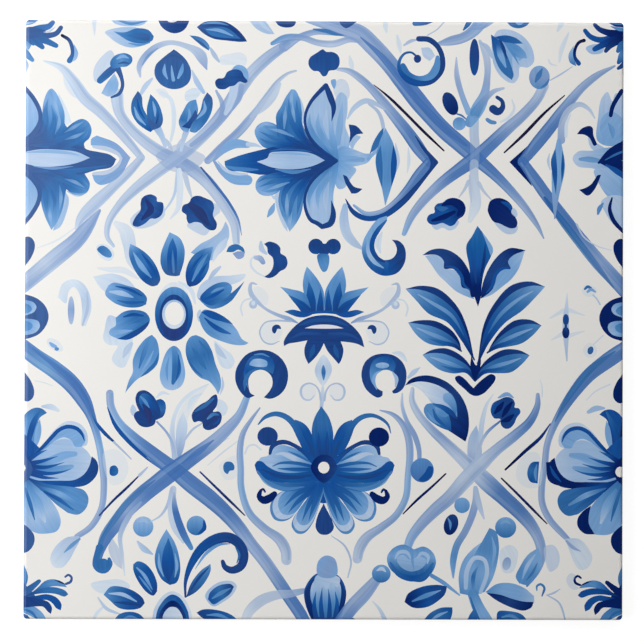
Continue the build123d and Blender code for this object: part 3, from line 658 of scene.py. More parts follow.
def paint_upper_corners():
    """Acanthus sprays in the two upper corners, each with a hook beside it."""
    shape(((-77, 77), (-72.5, 76.6)), ((-72.5, 76.6), (-74, 75.2), (-77, 74.4)),
          ((-77, 74.4), (-77, 77)), tones=AZURE)
    brush((-77, 76.4), (-75, 76.2), (-73, 76.7), width=(1, 0.7, 0.2), tones=DENIM)
    brush((-77, 75.1), (-75.4, 75.2), (-74, 75.4), width=(0.4, 0.5, 0.1), tones=LIGHT)
    brush((-76.6, 66), (-76, 64.4), (-76.2, 62.4), width=(1.2, 1.2, 0.2), tones=(LAVENDER, PALE))
    brush((-77, 69), (-75.6, 67), (-74.4, 65.8), width=(1.2, 1.7, 1), tones=(ROYAL, AZURE))
    brush((-76.6, 71.6), (-75.4, 70.4), (-75.6, 68.8), width=(2, 1.8, 0.9), tones=(ROYAL, SOFT))
    for lobe, width, tones in (
        (((-76, 72.4), (-72.5, 73.8), (-70.3, 74.4), (-69.3, 75.4)), (2.6, 2.2, 1.7, 1.2),
         (DENIM, ROYAL, (66, 110, 178))),
        (((-76, 72), (-71, 72), (-68.4, 72.6), (-67.2, 74.1)), (2.6, 1.6, 1.4, 1.1), (DENIM, DENIM)),
        (((-75, 72), (-71, 70.7), (-68.4, 69.5)), (2.2, 1.8, 1.2), (DENIM, ROYAL)),
        (((-75.4, 72), (-73.2, 70.3), (-71.9, 69.1)), (2.4, 2, 1.2), (DENIM, ROYAL)),
        (((-75.6, 72), (-74.8, 70.6), (-74.2, 69.9)), (2, 1.5, 0.9), (DENIM, ROYAL)),
        (((-77, 72.5), (-74, 72.8), (-71.5, 73)), (3, 3, 1), (DENIM, DENIM)),
    ):
        brush(*lobe, width=width, tones=tones)
    brush((-71.6, 72.9), (-70, 73.2), (-68.6, 74.3), width=(0.1, 0.5, 0.1), tones=PALE)
    shape(((-63.9, 70), (-62.8, 67.6), (-63.4, 65.9), (-65, 65.2)),
          ((-65, 65.2), (-64.1, 67), (-63.9, 70)), tones=(SOFT, LIGHT))
    brush((-66.9, 72.1), (-65.2, 71), (-64.4, 69.2), (-64.3, 67.2), (-65, 65.7),
          width=(0.8, 0.9, 1, 0.9, 1.4), tones=(INK, DENIM, DENIM, ROYAL))

    blob((66.4, 69.6), (69, 70.6), (71, 69.8), (70.6, 68.4), (67.6, 68.1), tones=LIGHT)
    for lobe, width, tones in (
        (((77, 72), (73.5, 71.8), (69.5, 71.7), (67.4, 72.6), (66.2, 74)), (3, 3, 1.7, 1.4, 1.1),
         (MIDNIGHT, COBALT, COBALT)),
        (((77, 72.6), (74.5, 73), (71.4, 73.7), (69.8, 74.4), (68.7, 75.5)), (3, 2.6, 1.8, 1.4, 1),
         (MIDNIGHT, MIDNIGHT, NAVY)),
        (((75, 72), (71.4, 70.7), (68.7, 69.3)), (2.6, 1.9, 1.3), (MIDNIGHT, COBALT)),
        (((75, 72), (72.6, 70.2), (71.5, 68.8)), (2.6, 1.8, 1), (MIDNIGHT, NAVY)),
        (((77, 70.6), (75.6, 70.2), (74.6, 68.8)), (2.4, 2, 1), (ROYAL, ROYAL)),
        (((77, 69.4), (75.8, 67.6), (74.8, 65.9)), (2, 2.2, 1), (ROYAL, AZURE, COBALT)),
        (((77, 66.4), (75.6, 65), (74.7, 64.4)), (1.6, 1.3, 0.8), (COBALT, NAVY)),
        (((77, 65), (76.4, 63.8), (76.2, 62.6)), (1.4, 1, 0.3), (NAVY, MIDNIGHT)),
    ):
        brush(*lobe, width=width, tones=tones)
    shape(((71.2, 77), (77, 77)), ((77, 77), (77, 74.8)), ((77, 74.8), (73.6, 75.2), (71.2, 77)),
          tones=(COBALT, MIDNIGHT))
    brush((72.8, 75.1), (75, 74.4), (77, 74.3), width=(0.2, 0.9, 0.8), tones=AZURE)
    brush((72.2, 76.2), (74.6, 75.7), (77, 75.7), width=(0.1, 0.4, 0.4), tones=ROYAL)
    shape(((63.3, 70.2), (62, 67.8), (62.4, 65.8), (64, 64.9)), ((64, 64.9), (63.4, 67.5), (63.3, 70.2)),
          tones=(LIGHT, SOFT, ROYAL))
    brush((66, 71.5), (64.7, 71), (63.7, 69.3), (63.6, 67.3), (64.6, 65.6),
          width=(0.9, 0.8, 0.8, 0.8, 1.2), tones=(INK, MIDNIGHT, COBALT))


def paint_right_flower():
    """The flower that the right edge cuts, with its arch, its spindle and its pale tongue."""
    blob((69.4, 46), (69.6, 52), (70.4, 56.6), (72, 58.4), (73.2, 56), (74, 58), (77, 57), (77, 45.5),
         (72, 44.6), tones=(SOFT, LIGHT, PALE), axis=((72, 46), (72, 58)))
    blob((70.6, 47), (70.4, 51.4), (72.6, 53.4), (75.4, 52), (76.4, 48), (74, 46), tones=SOFT,
         opacity=0.8)
    brush((72.2, 50.4), (73.2, 48.6), (73.4, 46.6), width=(0.3, 1.4, 0.4), tones=AZURE, opacity=0.6)
    brush((67.2, 46.6), (68.6, 44.6), (71, 43.6), width=(0.4, 2, 1.2), tones=(PALE, LIGHT))
    blob((63.1, 41.4), (64.6, 43.2), (68, 43.4), (72, 44.2), (77, 44), (77, 37), (72, 38), (68, 38.9),
         (64.4, 39.4), tones=(PALE, LIGHT, SOFT), axis=((63, 41), (74, 41)))
    brush((65, 41.2), (67, 41.2), (70, 40.8), width=(0.8, 1.5, 1), tones=AZURE, opacity=0.7)
    blob((68.6, 38.4), (70.4, 34), (72.6, 31.4), (77, 31), (77, 38.6), (72, 39), tones=(LIGHT, SOFT))
    blob((70.4, 30.4), (71.6, 27.4), (73.6, 24.6), (76.6, 22.6), (77, 31), (73, 32), tones=(PALE, LIGHT))
    for heart, tones in (
        (((69.8, 40.3), (72.5, 42.6), (77, 45.4)), (MIDNIGHT, MIDNIGHT)),
        (((77, 39.6), (74.4, 40.4), (72, 41.2)), (MIDNIGHT, MIDNIGHT)),
    ):
        brush(*heart, width=(0.6, 2.2, 2), tones=tones)
    shape(((69.7, 40.4), (73, 43), (77, 45.6)), ((77, 45.6), (77, 41.2)),
          ((77, 41.2), (74.4, 40.6), (77, 39)), ((77, 39), (77, 35.8)),
          ((77, 35.8), (73.4, 38.4), (69.7, 40.4)), tones=(MIDNIGHT, MIDNIGHT))
    brush((71.4, 41), (74, 42.4), (77, 43.6), width=(0.2, 0.6, 0.4), tones=ROYAL)
    brush((71.6, 39.8), (74, 38.4), (76.6, 36.6), width=(0.4, 1.4, 1.2), tones=COBALT)
    brush((75.6, 58.6), (74.2, 56.4), (73.2, 54.4), (72.8, 52.4), width=(1.2, 1.1, 1.1, 1),
          tones=MIDNIGHT)
    shape(((64.2, 47.6), (65.4, 49), (67.4, 49.7), (68.2, 49.2), (68.4, 47.4), (69.4, 45)),
          ((69.4, 45), (68.6, 44.6), (67.4, 46.6), (66.2, 47.4), (64.2, 47.6)), tones=MIDNIGHT)
    shape(((64.8, 33.4), (67, 31.9), (68.8, 33.6), (70.4, 37.2)),
          ((70.4, 37.2), (69.6, 37.2), (68, 35), (66.4, 33.9), (64.8, 33.4)), tones=MIDNIGHT)
    brush((73.2, 31.4), (72.6, 28.6), (73.6, 25.6), (76, 22.8), width=(0.4, 1, 1.1, 0.9), tones=MIDNIGHT)
    brush((69.6, 27.2), (70, 28.6), (70.9, 30), width=(0.5, 1.2, 0.4), tones=AZURE)
    # the arch and the spindle under it
    brush((60.2, 46), (60.4, 50), (62, 53.6), (64.8, 55.2), (67.2, 54), (68.8, 51.6),
          width=(2, 1.8, 1.6, 1.4, 1, 0.3), tones=(LAVENDER, HAZE, HAZE, PALE), opacity=0.9)
    brush((61.4, 47), (61.6, 50.4), (62.6, 52.6), width=(0.8, 0.9, 0.3), tones=MIST)
    brush((59.6, 46), (59.5, 39), (58.8, 32), (58.6, 26), width=(1, 3.4, 2, 0.3),
          tones=(SOFT, SOFT, LAVENDER))
    shape(((58.7, 44), (57.6, 40.8), (58, 37), (58.9, 32)), ((58.9, 32), (59.2, 38), (58.7, 44)),
          tones=(ROYAL, COBALT, ROYAL))
    shape(((60.5, 43.4), (61, 40.8), (60.8, 37.4), (60.3, 35)), ((60.3, 35), (60.2, 39), (60.5, 43.4)),
          tones=(ROYAL, COBALT, ROYAL))
    brush((57.2, 42.6), (56.9, 40.6), (57.4, 38.4), width=(0.2, 0.7, 0.2), tones=PALE)


def leaf(one, other, **paint):
    """A patch with two corners: one side runs from tip to foot, the other goes on back to the tip."""
    shape(one, (one[-1], *other, one[0]), **paint)


def mirrored(s, *points):
    """The points as they are, or with s = -1 mirrored about the upright through the centre."""
    return [(s * x, y) for x, y in points]


def paint_edge_discs():
    """The dark half discs and drops that the left and right edges cut, and faint marks beside them."""
    for s, dark in ((-1, DENIM), (1, MIDNIGHT)):
        blob(*mirrored(s, (77, 6.2), (75, 6), (72.6, 5), (70.8, 3.2), (70, 0.8), (70.6, -1.6),
                       (72.4, -3.8), (75, -4.9), (77, -5)), tones=dark)
        blob(*mirrored(s, (77, 4.7), (75.4, 4.7), (73.8, 4.2), (73.1, 3.1), (73.6, 1.9), (75, 1.2),
                       (77, 0.9)), tones=(AZURE, SOFT, LIGHT))
        blob(*mirrored(s, (77, 4), (75, 3.6), (74.2, 2.5), (75, 1.6), (77, 1.4)), tones=(ROYAL, AZURE))
        blob(*mirrored(s, (77, -0.3), (74.6, 0), (72.6, -0.6), (72.2, -1.8), (73, -3.2), (74.6, -3.9),
                       (77, -3.8)), tones=(AZURE, SOFT, LIGHT))
        blob(*mirrored(s, (77, -0.6), (75, -0.7), (74, -1.6), (74.6, -2.7), (77, -3)),
             tones=(ROYAL, AZURE))
        for flip in (1, -1):
            leaf(mirrored(s, (77, 20.6 * flip), (75, 20.9 * flip), (73.8, 19.8 * flip),
                          (73.6, 18 * flip), (74.5, 15.6 * flip), (76.2, 13.3 * flip),
                          (77, 12.4 * flip)), mirrored(s, (77, 16 * flip)), tones=dark)
    # the small flowers on faint stalks
    oval((-68.4, -6.6), 2.4, 1.3, tones=MIST, turn=-35, opacity=0.6)
    brush((-69.6, -6.1), (-68.9, -6.7), (-68.2, -7), width=(0.6, 1, 0.8), tones=SOFT)
    oval((-67.9, -7.6), 0.6, 0.45, tones=AZURE)

    oval((67.5, 7.6), 1.9, 1.5, tones=MIST, opacity=0.5)
    brush((66.3, 8.1), (67, 8.7), (67.9, 8.4), width=(0.5, 0.8, 0.5), tones=ROYAL)
    brush((67, 7.4), (67.9, 8), (69, 7.4), width=(0.6, 0.8, 0.4), tones=SOFT)
    brush((68.4, 6.6), (69.4, 5.6), (70.2, 4.2), width=0.4, tones=PALE)
    oval((67.7, -7.5), 1.8, 1.9, tones=MIST, opacity=0.5)
    oval((67.8, -7.5), 0.75, 1.05, tones=(ROYAL, DENIM), turn=-18)
    brush((68.5, -6), (69.6, -5), (71, -3.7), width=0.35, tones=MIST)
    # the pale horseshoe on the left, the bead on the right
    leaf(((-67.7, 5.6), (-66.5, 9), (-64, 10.1), (-61.5, 9.3), (-59.7, 6.5), (-59.2, 2.5),
          (-60.6, -1.8)), ((-61.6, -1.6), (-61.5, 2), (-62.3, 6.6), (-63.8, 8.2), (-65, 6.8),
                           (-65.6, 4)), tones=(MIST, PALE, MIST))
    brush((-60.3, 7), (-60.1, 3), (-61.4, -1.6), width=(0.2, 0.8, 0.4), tones=HAZE)
    oval((-64.3, 2.2), 0.85, 3.6, tones=(HAZE, LAVENDER, HAZE))
    for x0, y0, x1, y1 in ((60.8, 2.6, 57.4, 0.6), (62.2, 2.8, 66.2, 1.4), (60.8, -3.2, 57.8, -4.9),
                           (62.2, -3.8, 66.2, -2.6)):
        brush((x0, y0), (x1, y1), width=(1.2, 0.3), tones=MIST, opacity=0.8)
    brush((61.8, 7.2), (61.7, 4), (61.5, 1), (61.5, -3), (61.6, -6), (61.8, -10.2),
          width=(0.1, 0.9, 1.6, 1.6, 0.9, 0.3), tones=(MIST, PALE, PALE, HAZE))
    oval((61.5, 0.3), 0.8, 1.45, tones=(COBALT, NAVY))
    oval((61.5, -3), 0.95, 1.5, tones=(NAVY, MIDNIGHT))
    brush((61.5, -0.6), (61.5, -2), width=0.7, tones=NAVY)
    brush((64.2, 24.6), (66, 21.4), (69.4, 19.1), (73, 18), width=(0.5, 0.4, 0.3, 0.3),
          tones=(HAZE, MIST))
    brush((66.8, -20.2), (69, -18), (72.8, -16.1), width=(0.2, 0.4, 0.4), tones=MIST)
    brush((-73.3, -15.7), (-71, -16.2), (-68.8, -17), width=(0.3, 0.3, 0.2), tones=MIST, opacity=0.7)


def paint_daisy():
    """The daisy left of the centre, with its petals round a ring."""
    # pale petals behind the others
    brush((-53, 24.4), (-50.6, 22.4), (-49.6, 19), (-49, 15), (-47, 11.6),
          width=(1.4, 3.6, 3.2, 2.6, 0.8), tones=(MIST, PALE, MIST), opacity=0.75)
    brush((-57.6, 13), (-54.6, 12.6), (-51, 12.4), (-47.4, 10.4), width=(0.4, 1.4, 1.6, 0.6), tones=MIST,
          opacity=0.7)
    leaf(((-58.8, 10.8), (-54, 11.6), (-50, 10.2), (-46.6, 6)), ((-52, 5), (-56.5, 7.6)),
         tones=(MIST, PALE))
    brush((-63, 23.5), (-68, 20), (-73, 18), width=(0.3, 0.5, 0.2), tones=MIST, opacity=0.6)
    blob((-54.6, 1), (-55.8, -2.6), (-56.1, -5), (-55, -6.4), (-52.4, -6.8), (-53.4, -8.6),
         (-53.9, -10.2), (-52.8, -11.8), (-51, -12.3), (-50, -11), (-48.6, -5.6), (-50, -2),
         tones=(PALE, MIST, MIST))
    brush((-49, -6.2), (-50.2, -8), (-51, -9.6), width=(1, 1.6, 0.5), tones=PALE)
    blob((-27.9, -5.4), (-25.6, -7.2), (-23.4, -9), (-22.8, -11), (-24, -12.5), (-26, -12), (-27.4, -9),
         tones=MIST)
    brush((-27.6, -6.2), (-26.6, -8.2), (-25, -9.8), width=(0.5, 1.5, 0.4), tones=PALE)
    blob((-20, 11.5), (-24, 11.2), (-28.5, 10.8), (-31.6, 8.6), (-32.3, 5.6), (-31, 5), (-26, 8),
         (-21, 10), tones=(MIST, PALE, PALE))
    leaf(((-25.2, 25), (-26.4, 22.6), (-29, 20.6), (-31.6, 19.2), (-34, 17)),
         ((-29, 15), (-26, 18.4), (-24.4, 20.6), (-24.4, 23.4)), tones=(LIGHT, LIGHT, SOFT))
    leaf(((-24.6, 21), (-25, 18.6), (-27, 16.4)), ((-28.4, 14.6), (-28.2, 17), (-26.6, 19.6)),
         tones=(PALE, MIST))
    brush((-29.2, 10.4), (-28, 12), (-26.5, 13.4), width=(0.7, 1.2, 0.6), tones=(HAZE, PALE))
    blob((-31.6, 2.6), (-32.4, 1.4), (-31.8, -0.6), (-31, 1), tones=PALE)
    brush((-37, 9.6), (-34, 7.6), (-32.8, 4), width=(0.4, 1.2, 0.4), tones=MIST)
    # the petals, from the top round to the left
    leaf(((-39.4, 22.2), (-36.8, 20.7), (-35.6, 18), (-35.7, 15), (-36.8, 11.2)),
         ((-37.8, 11), (-40.3, 11.5), (-41.6, 14), (-41.5, 17), (-40.4, 20)),
         tones=(SOFT, AZURE, ROYAL, DENIM), axis=((-39, 22), (-38, 11)))
    leaf(((-38.6, 20.8), (-37.6, 18), (-37.5, 14.6), (-37.6, 11.4)),
         ((-39.4, 11.6), (-40, 15), (-39.6, 18.6)), tones=(ROYAL, COBALT, DENIM))
    brush((-38.6, 17.6), (-38.5, 14.6), (-38.3, 12), width=(0.1, 0.7, 0.5), tones=AZURE, opacity=0.7)
    leaf(((-28.2, 18.6), (-30.6, 18), (-33, 16.6), (-34.6, 14.4), (-35.3, 11.4), (-34.8, 8.8),
          (-34.2, 8.3)), ((-32.4, 8.8), (-30.6, 10.6), (-29.4, 13), (-29.2, 14.8)),
         tones=(SOFT, ROYAL, ROYAL, COBALT, NAVY))
    brush((-33.6, 9.8), (-32, 13), (-29.8, 16.6), width=(0.4, 1.1, 0.3), tones=AZURE)
    brush((-34.2, 11.6), (-33, 14), (-31, 16.4), width=(0.2, 0.7, 0.2), tones=COBALT)
    brush((-32, 10.6), (-31, 12.6), (-29.9, 14.2), width=(0.3, 0.8, 0.2), tones=COBALT)
    leaf(((-20.3, 9.8), (-21.6, 7.6), (-23.6, 4.8), (-26.4, 3.1), (-29, 2.8), (-31.4, 4.6),
          (-32.2, 5.6)), ((-30.4, 4.8), (-27, 4.8), (-23.4, 7)), tones=(ROYAL, ROYAL, AZURE))
    blob((-31.6, 5.4), (-30.2, 7.4), (-27.4, 9.2), (-24.8, 9.5), (-23.5, 8.4), (-24, 6.4), (-26, 4.9),
         (-29, 3.6), tones=(COBALT, ROYAL, AZURE))
    brush((-30.2, 5.2), (-28, 6.2), (-25.6, 7.6), width=(0.4, 0.9, 0.3), tones=COBALT)
    brush((-28.8, 6.8), (-27.4, 7.6), (-25.6, 8.2), width=(0.2, 0.7, 0.2), tones=SOFT, opacity=0.7)
    leaf(((-19.2, -5.9), (-20.9, -4.9), (-22.2, -2.6), (-24.4, -0.2), (-27.6, 1.8), (-30.6, 2.5),
          (-31.9, 0.6)), ((-31.2, -1.6), (-29.6, -3.8), (-26.4, -5.4), (-22.8, -6.4), (-20.2, -6.4)),
         tones=(SOFT, SOFT, AZURE, AZURE))
    leaf(((-31.3, 1.9), (-29.4, 2.4), (-26.4, 1.3), (-24.2, -0.2), (-23.2, -1.2)),
         ((-25.6, -0.6), (-29, 0.4)), tones=(COBALT, COBALT, ROYAL))
    brush((-30.4, 0.4), (-28.4, -1.4), (-26, -2.8), (-23.8, -3.6), width=(0.3, 1.1, 1.2, 0.3),
          tones=(COBALT, COBALT, ROYAL))
    leaf(((-32.6, -3.9), (-34, -4.4), (-35, -6), (-35.1, -9), (-33.6, -12.6), (-31.4, -14.8),
          (-29.2, -15.7), (-27.6, -17.6), (-26.9, -19)),
         ((-26.2, -17), (-26.4, -14.4), (-27.6, -11.2), (-28.6, -7.8), (-30.4, -5)),
         tones=(AZURE, ROYAL, AZURE, SOFT))
    brush((-33.4, -7.4), (-31.8, -9.8), (-30, -12.6), width=(0.4, 1.6, 0.3), tones=ROYAL, opacity=0.8)
    brush((-31.8, -5.4), (-30, -7.8), (-29.2, -10.2), width=(0.3, 1, 0.3), tones=ROYAL, opacity=0.7)
    brush((-34.4, -10.6), (-32.8, -12.8), (-31, -14.4), width=(0.2, 0.5, 0.2), tones=COBALT, opacity=0.6)
    brush((-25.9, -14.6), (-25.7, -16.8), (-26.4, -19), width=(0.2, 0.7, 0.2), tones=PALE)
    blob((-38.2, -6.7), (-36.8, -7.6), (-35.8, -10.6), (-35.3, -14), (-36.2, -16.8), (-38.5, -18),
         (-40.6, -17.3), (-41.7, -15), (-41.3, -11.6), (-39.8, -7.8), tones=(AZURE, SOFT, SOFT, LIGHT))
    brush((-38.2, -7.4), (-37.7, -10), (-37.5, -13), (-38.4, -16.2), width=(1, 2, 2.3, 0.8),
          tones=(AZURE, ROYAL, ROYAL))
    brush((-37, -9), (-36.9, -12.4), (-37.6, -15.4), width=(0.2, 0.7, 0.2), tones=COBALT, opacity=0.7)
    brush((-39.4, -9.6), (-40, -12.4), (-39.8, -15.4), width=(0.2, 0.7, 0.2), tones=AZURE, opacity=0.7)
    leaf(((-43.8, -3.9), (-45.4, -4.9), (-47.4, -7.4), (-48.6, -10.4), (-48.6, -13.4), (-49.6, -15.6),
          (-50.5, -18.7)), ((-49.4, -17.3), (-47.4, -15.2), (-44.6, -13.6), (-42.4, -11.4),
                            (-41.9, -8.6), (-42.6, -5.2)), tones=(AZURE, AZURE, SOFT, AZURE))
    leaf(((-42, -8.4), (-42.4, -11), (-44.4, -13.4), (-46.8, -14.8)), ((-44.8, -12.6), (-43.2, -10.8)),
         tones=ROYAL)
    brush((-44.4, -5), (-45.8, -8.6), (-47, -12.4), width=(0.6, 1.2, 0.3), tones=(AZURE, ROYAL))
    brush((-43.4, -8), (-44.6, -10.6), (-46, -12.8), width=(0.2, 0.6, 0.2), tones=SOFT)
    leaf(((-53, 0.4), (-51, 1.9), (-48.5, 2.4), (-45.5, 1.8), (-44.3, 0), (-45, -1.9), (-47.2, -3.8),
          (-50, -5.1), (-52.4, -5)), ((-54.6, -3.8), (-54.4, -2.6), (-53, -1.6)),
         tones=(ROYAL, ROYAL, AZURE, SOFT), axis=((-44.6, 1), (-54, -4)))
    leaf(((-44.4, -0.4), (-45.2, -2.1), (-47.4, -4), (-50, -5.2), (-52.6, -5)),
         ((-50.4, -4), (-47.4, -2.4)), tones=(NAVY, COBALT))
    brush((-51.6, -2.7), (-49.6, -2), (-46, -0.8), width=(0.2, 1.1, 0.4), tones=(AZURE, ROYAL))
    brush((-53.6, -3.4), (-51.4, -3.2), (-48.8, -2.8), width=(1, 1.1, 0.2), tones=SOFT)
    brush((-51, 0.6), (-48.6, 1.2), (-46, 0.9), width=(0.3, 0.9, 0.4), tones=COBALT)
    leaf(((-54.9, 8.6), (-53.6, 9.3), (-50, 8.5), (-47, 7.5), (-45.1, 5.5), (-45.3, 3.8)),
         ((-47, 3.1), (-50.4, 3.1), (-53.6, 4.3), (-55.7, 6.4)), tones=(ROYAL, ROYAL, AZURE, SOFT),
         axis=((-45, 5), (-55.5, 7.6)))
    brush((-54.6, 7), (-51.5, 6.6), (-48.6, 5.6), width=(0.4, 1.4, 0.3), tones=(LIGHT, LIGHT, SOFT))
    brush((-53, 8.4), (-49.6, 7.6), (-46.4, 6), width=(0.2, 0.8, 0.3), tones=COBALT)
    brush((-52.6, 4.8), (-49.6, 4.2), (-46, 4.4), width=(0.2, 0.8, 0.4), tones=COBALT, opacity=0.7)
    leaf(((-49.4, 19.2), (-47, 18), (-44.5, 16), (-42.5, 13), (-41.7, 10), (-42.4, 8.7)),
         ((-43.8, 8.4), (-46.2, 9.8), (-48.5, 13), (-49.7, 16.5)),
         tones=(SOFT, ROYAL, ROYAL, COBALT, DENIM))
    brush((-48.6, 17), (-46.6, 13.6), (-44, 10.6), width=(0.2, 1.4, 0.3), tones=(SOFT, SOFT, AZURE))
    brush((-46.4, 16.6), (-44.4, 14), (-42.7, 10.6), width=(0.2, 0.9, 0.4), tones=COBALT)
    # the ring
    oval((-38.2, 3), 4.3, 6.5, tones=MIST, opacity=0.7)
    oval((-38.2, 1.4), 4.85, 6.9, tones=(AZURE, ROYAL, COBALT, NAVY))
    oval((-38.25, 0.75), 3.65, 5.6, tones=(NAVY, NAVY, (40, 60, 124)))
    oval((-38.2, 1.3), 3, 3.7, tones=(LIGHT, MIST))
    oval((-38.1, 1.5), 2.4, 2.95, tones=WHITE, grain=0.0)


def paint_centre_crown():
    """The crown under the centre flower: a clover, the petals, the dome and the curls."""
    for s in (-1, 1):
        oval((s * 2.2, 18.7), 1.95, 2, tones=(NAVY, NAVY, COBALT))
    blob((-1.4, 19.6), (0, 19.4), (1.2, 19.6), (1, 16.8), (-1.2, 16.8), tones=NAVY)
    blob((-1.8, 16.6), (-0.4, 16.9), (1, 16.6), (1.2, 14.6), (0.5, 12.5), (-0.3, 12.2), (-1.4, 13.9),
         tones=(ROYAL, AZURE, AZURE))
    # the spiral hooks to the left and right of the clover
    brush((-16.2, 19.8), (-16, 18), (-14.8, 16.8), width=(0.6, 1.4, 0.6), tones=PALE)
    brush((-15.2, 11), (-17.2, 12), (-18.6, 13.6), (-18.6, 15.4), (-17.6, 16.3),
          width=(0.3, 0.5, 0.6, 0.5, 0.4), tones=MIST)
    brush((-17.6, 15.8), (-16.4, 15.6), (-15.6, 14.6), width=(1, 1.5, 1.2), tones=(HAZE, LAVENDER))
    leaf(((-15.4, 19.3), (-14, 19.9), (-12, 19.2), (-11.2, 18.2), (-11.2, 17), (-9.8, 16), (-9.4, 14.3),
          (-10, 13), (-11.2, 12.4), (-12.5, 11.2), (-14, 10.6), (-15.3, 10.9)),
         ((-13.7, 12.2), (-13, 14), (-13.2, 15.8), (-14.4, 17), (-14.6, 18.4)),
         tones=(NAVY, (32, 78, 146), NAVY))
    leaf(((-25, 17.2), (-24.3, 18.6), (-22.4, 19.2), (-20.6, 18.2), (-20.2, 16.9)),
         ((-22, 17.8), (-23.2, 17.2)), tones=(ROYAL, ROYAL))
    leaf(((-20.3, 17.2), (-20.6, 15.9), (-22, 15.4), (-23.4, 16.8)), ((-22, 17.4),), tones=LAVENDER)
    brush((5.2, 29), (4.9, 25.6), (5.6, 22.2), (7.4, 19.8), (9.8, 18), width=(1.4, 2.3, 2.5, 2.1, 0.5),
          tones=(LIGHT, PALE, HAZE))
    brush((14.6, 22.4), (13.6, 19.6), (14.2, 17.2), width=(0.4, 1.7, 0.5), tones=MIST)
    leaf(((15.8, 26.6), (13.4, 25.6), (11.2, 22.8), (9.8, 20), (9.5, 17.4), (10.3, 14.9), (12, 12.8),
          (14.2, 11.5), (16.2, 11.3), (18.6, 12.1), (20.3, 14.4), (20.7, 17), (20.2, 18.9), (18.9, 20.2),
          (17.1, 20.5)), ((18, 19.4), (18.4, 18), (18.1, 16.7), (17, 15.6), (15.4, 15.3), (14.2, 15.7),
                          (13.2, 16.9), (12.7, 18.5), (12.8, 20.4), (13.6, 22.4), (15, 24.2),
                          (15.9, 25.6)), tones=(SOFT, SOFT, ROYAL, COBALT), axis=((12, 25), (14.5, 12)))
    brush((11, 20.6), (11.1, 17.4), (12.6, 14.9), (15, 13.3), width=(0.3, 1, 1.1, 0.3),
          tones=(SOFT, LIGHT, SOFT))
    brush((15.7, 25.4), (13.5, 22.8), (12.2, 20.2), (12.2, 17.8), (13.4, 15.8), (15.2, 14.9),
          width=(0.4, 1.1, 1.2, 1.2, 1.2, 0.6), tones=(ROYAL, COBALT, COBALT, NAVY))
    leaf(((14.6, 15.4), (16.4, 14.6), (16.2, 13.4), (16.4, 11.6), (18.6, 12.2), (20.3, 14.4), (20.7, 17),
          (20.2, 18.9), (18.9, 20.2), (17.1, 20.5)),
         ((18, 19.4), (18.4, 18), (18.1, 16.7), (17, 15.6), (15.4, 15.3)), tones=(COBALT, NAVY, NAVY))
    # tendrils with their curls
    for s in (-1, 1):
        blob(*mirrored(s, (18, 8.2), (16, 8.2), (14.2, 6), (14.8, 3.6), (17.2, 5.6)), tones=MIST,
             opacity=0.4)
        brush(*mirrored(s, (17.2, 9), (18.5, 9.3), (18.9, 8.2), (18.5, 6.4), (17, 4.6), (14.8, 2.7),
                        (12, 1.3), (8.6, 0.1), (6.9, -0.7)),
              width=(0.3, 0.9, 1.3, 1, 0.7, 0.8, 0.9, 1.1, 0.4), tones=(HAZE, HAZE, LAVENDER))
        brush(*mirrored(s, (18.6, 5.4), (20.3, 4.9), (21.2, 3.2), (20.8, 1.1)),
              width=(0.5, 0.4, 0.5, 0.4), tones=MIST)
        oval((s * 18.1, 3.9), 1.05, 1.1, tones=(PALE, HAZE))
        oval((s * 18.1, 4.2), 0.5, 0.6, tones=MIST)
    # the petals
    for s in (-1, 1):
        leaf(mirrored(s, (4.5, 13.6), (3, 12), (1.4, 9.8), (0.2, 7.2), (0, 2)),
             mirrored(s, (4.4, 2), (5.1, 6), (5.5, 9), (5.2, 11.4)), tones=(SOFT, AZURE, AZURE, ROYAL))
        leaf(mirrored(s, (4, 9.8), (3, 7.8), (2.2, 5), (2.2, 2)), mirrored(s, (4.8, 2), (4.6, 6)),
             tones=(ROYAL, COBALT, NAVY))
        leaf(mirrored(s, (1, 8), (0.4, 5.4), (0.2, 2)), mirrored(s, (1.8, 2), (1.6, 5)),
             tones=(ROYAL, COBALT, NAVY))
        leaf(mirrored(s, (11.3, 8.4), (8.4, 7.8), (5, 6.7), (3.4, 3)), mirrored(s, (6, 3.4), (9, 6.2)),
             tones=(SOFT, AZURE, ROYAL))
        leaf(mirrored(s, (9.3, 6.4), (7.4, 5.6), (5, 4.4), (2.6, 2)), mirrored(s, (5, 1.4), (7.2, 3.8)),
             tones=(ROYAL, COBALT, NAVY))
        leaf(mirrored(s, (10.2, 2.1), (8.2, 2.6), (6, 2.2), (3, 1.4)),
             mirrored(s, (4.8, 0.7), (6.6, 0.7), (8.4, 1.3)), tones=(ROYAL, COBALT, COBALT))
    leaf(((-5.4, 0.7), (-3.6, 2), (0, 2.4), (3.6, 2), (5.4, 0.7)), ((3.2, 1.4), (0, 1.7), (-3.2, 1.4)),
         tones=COBALT)
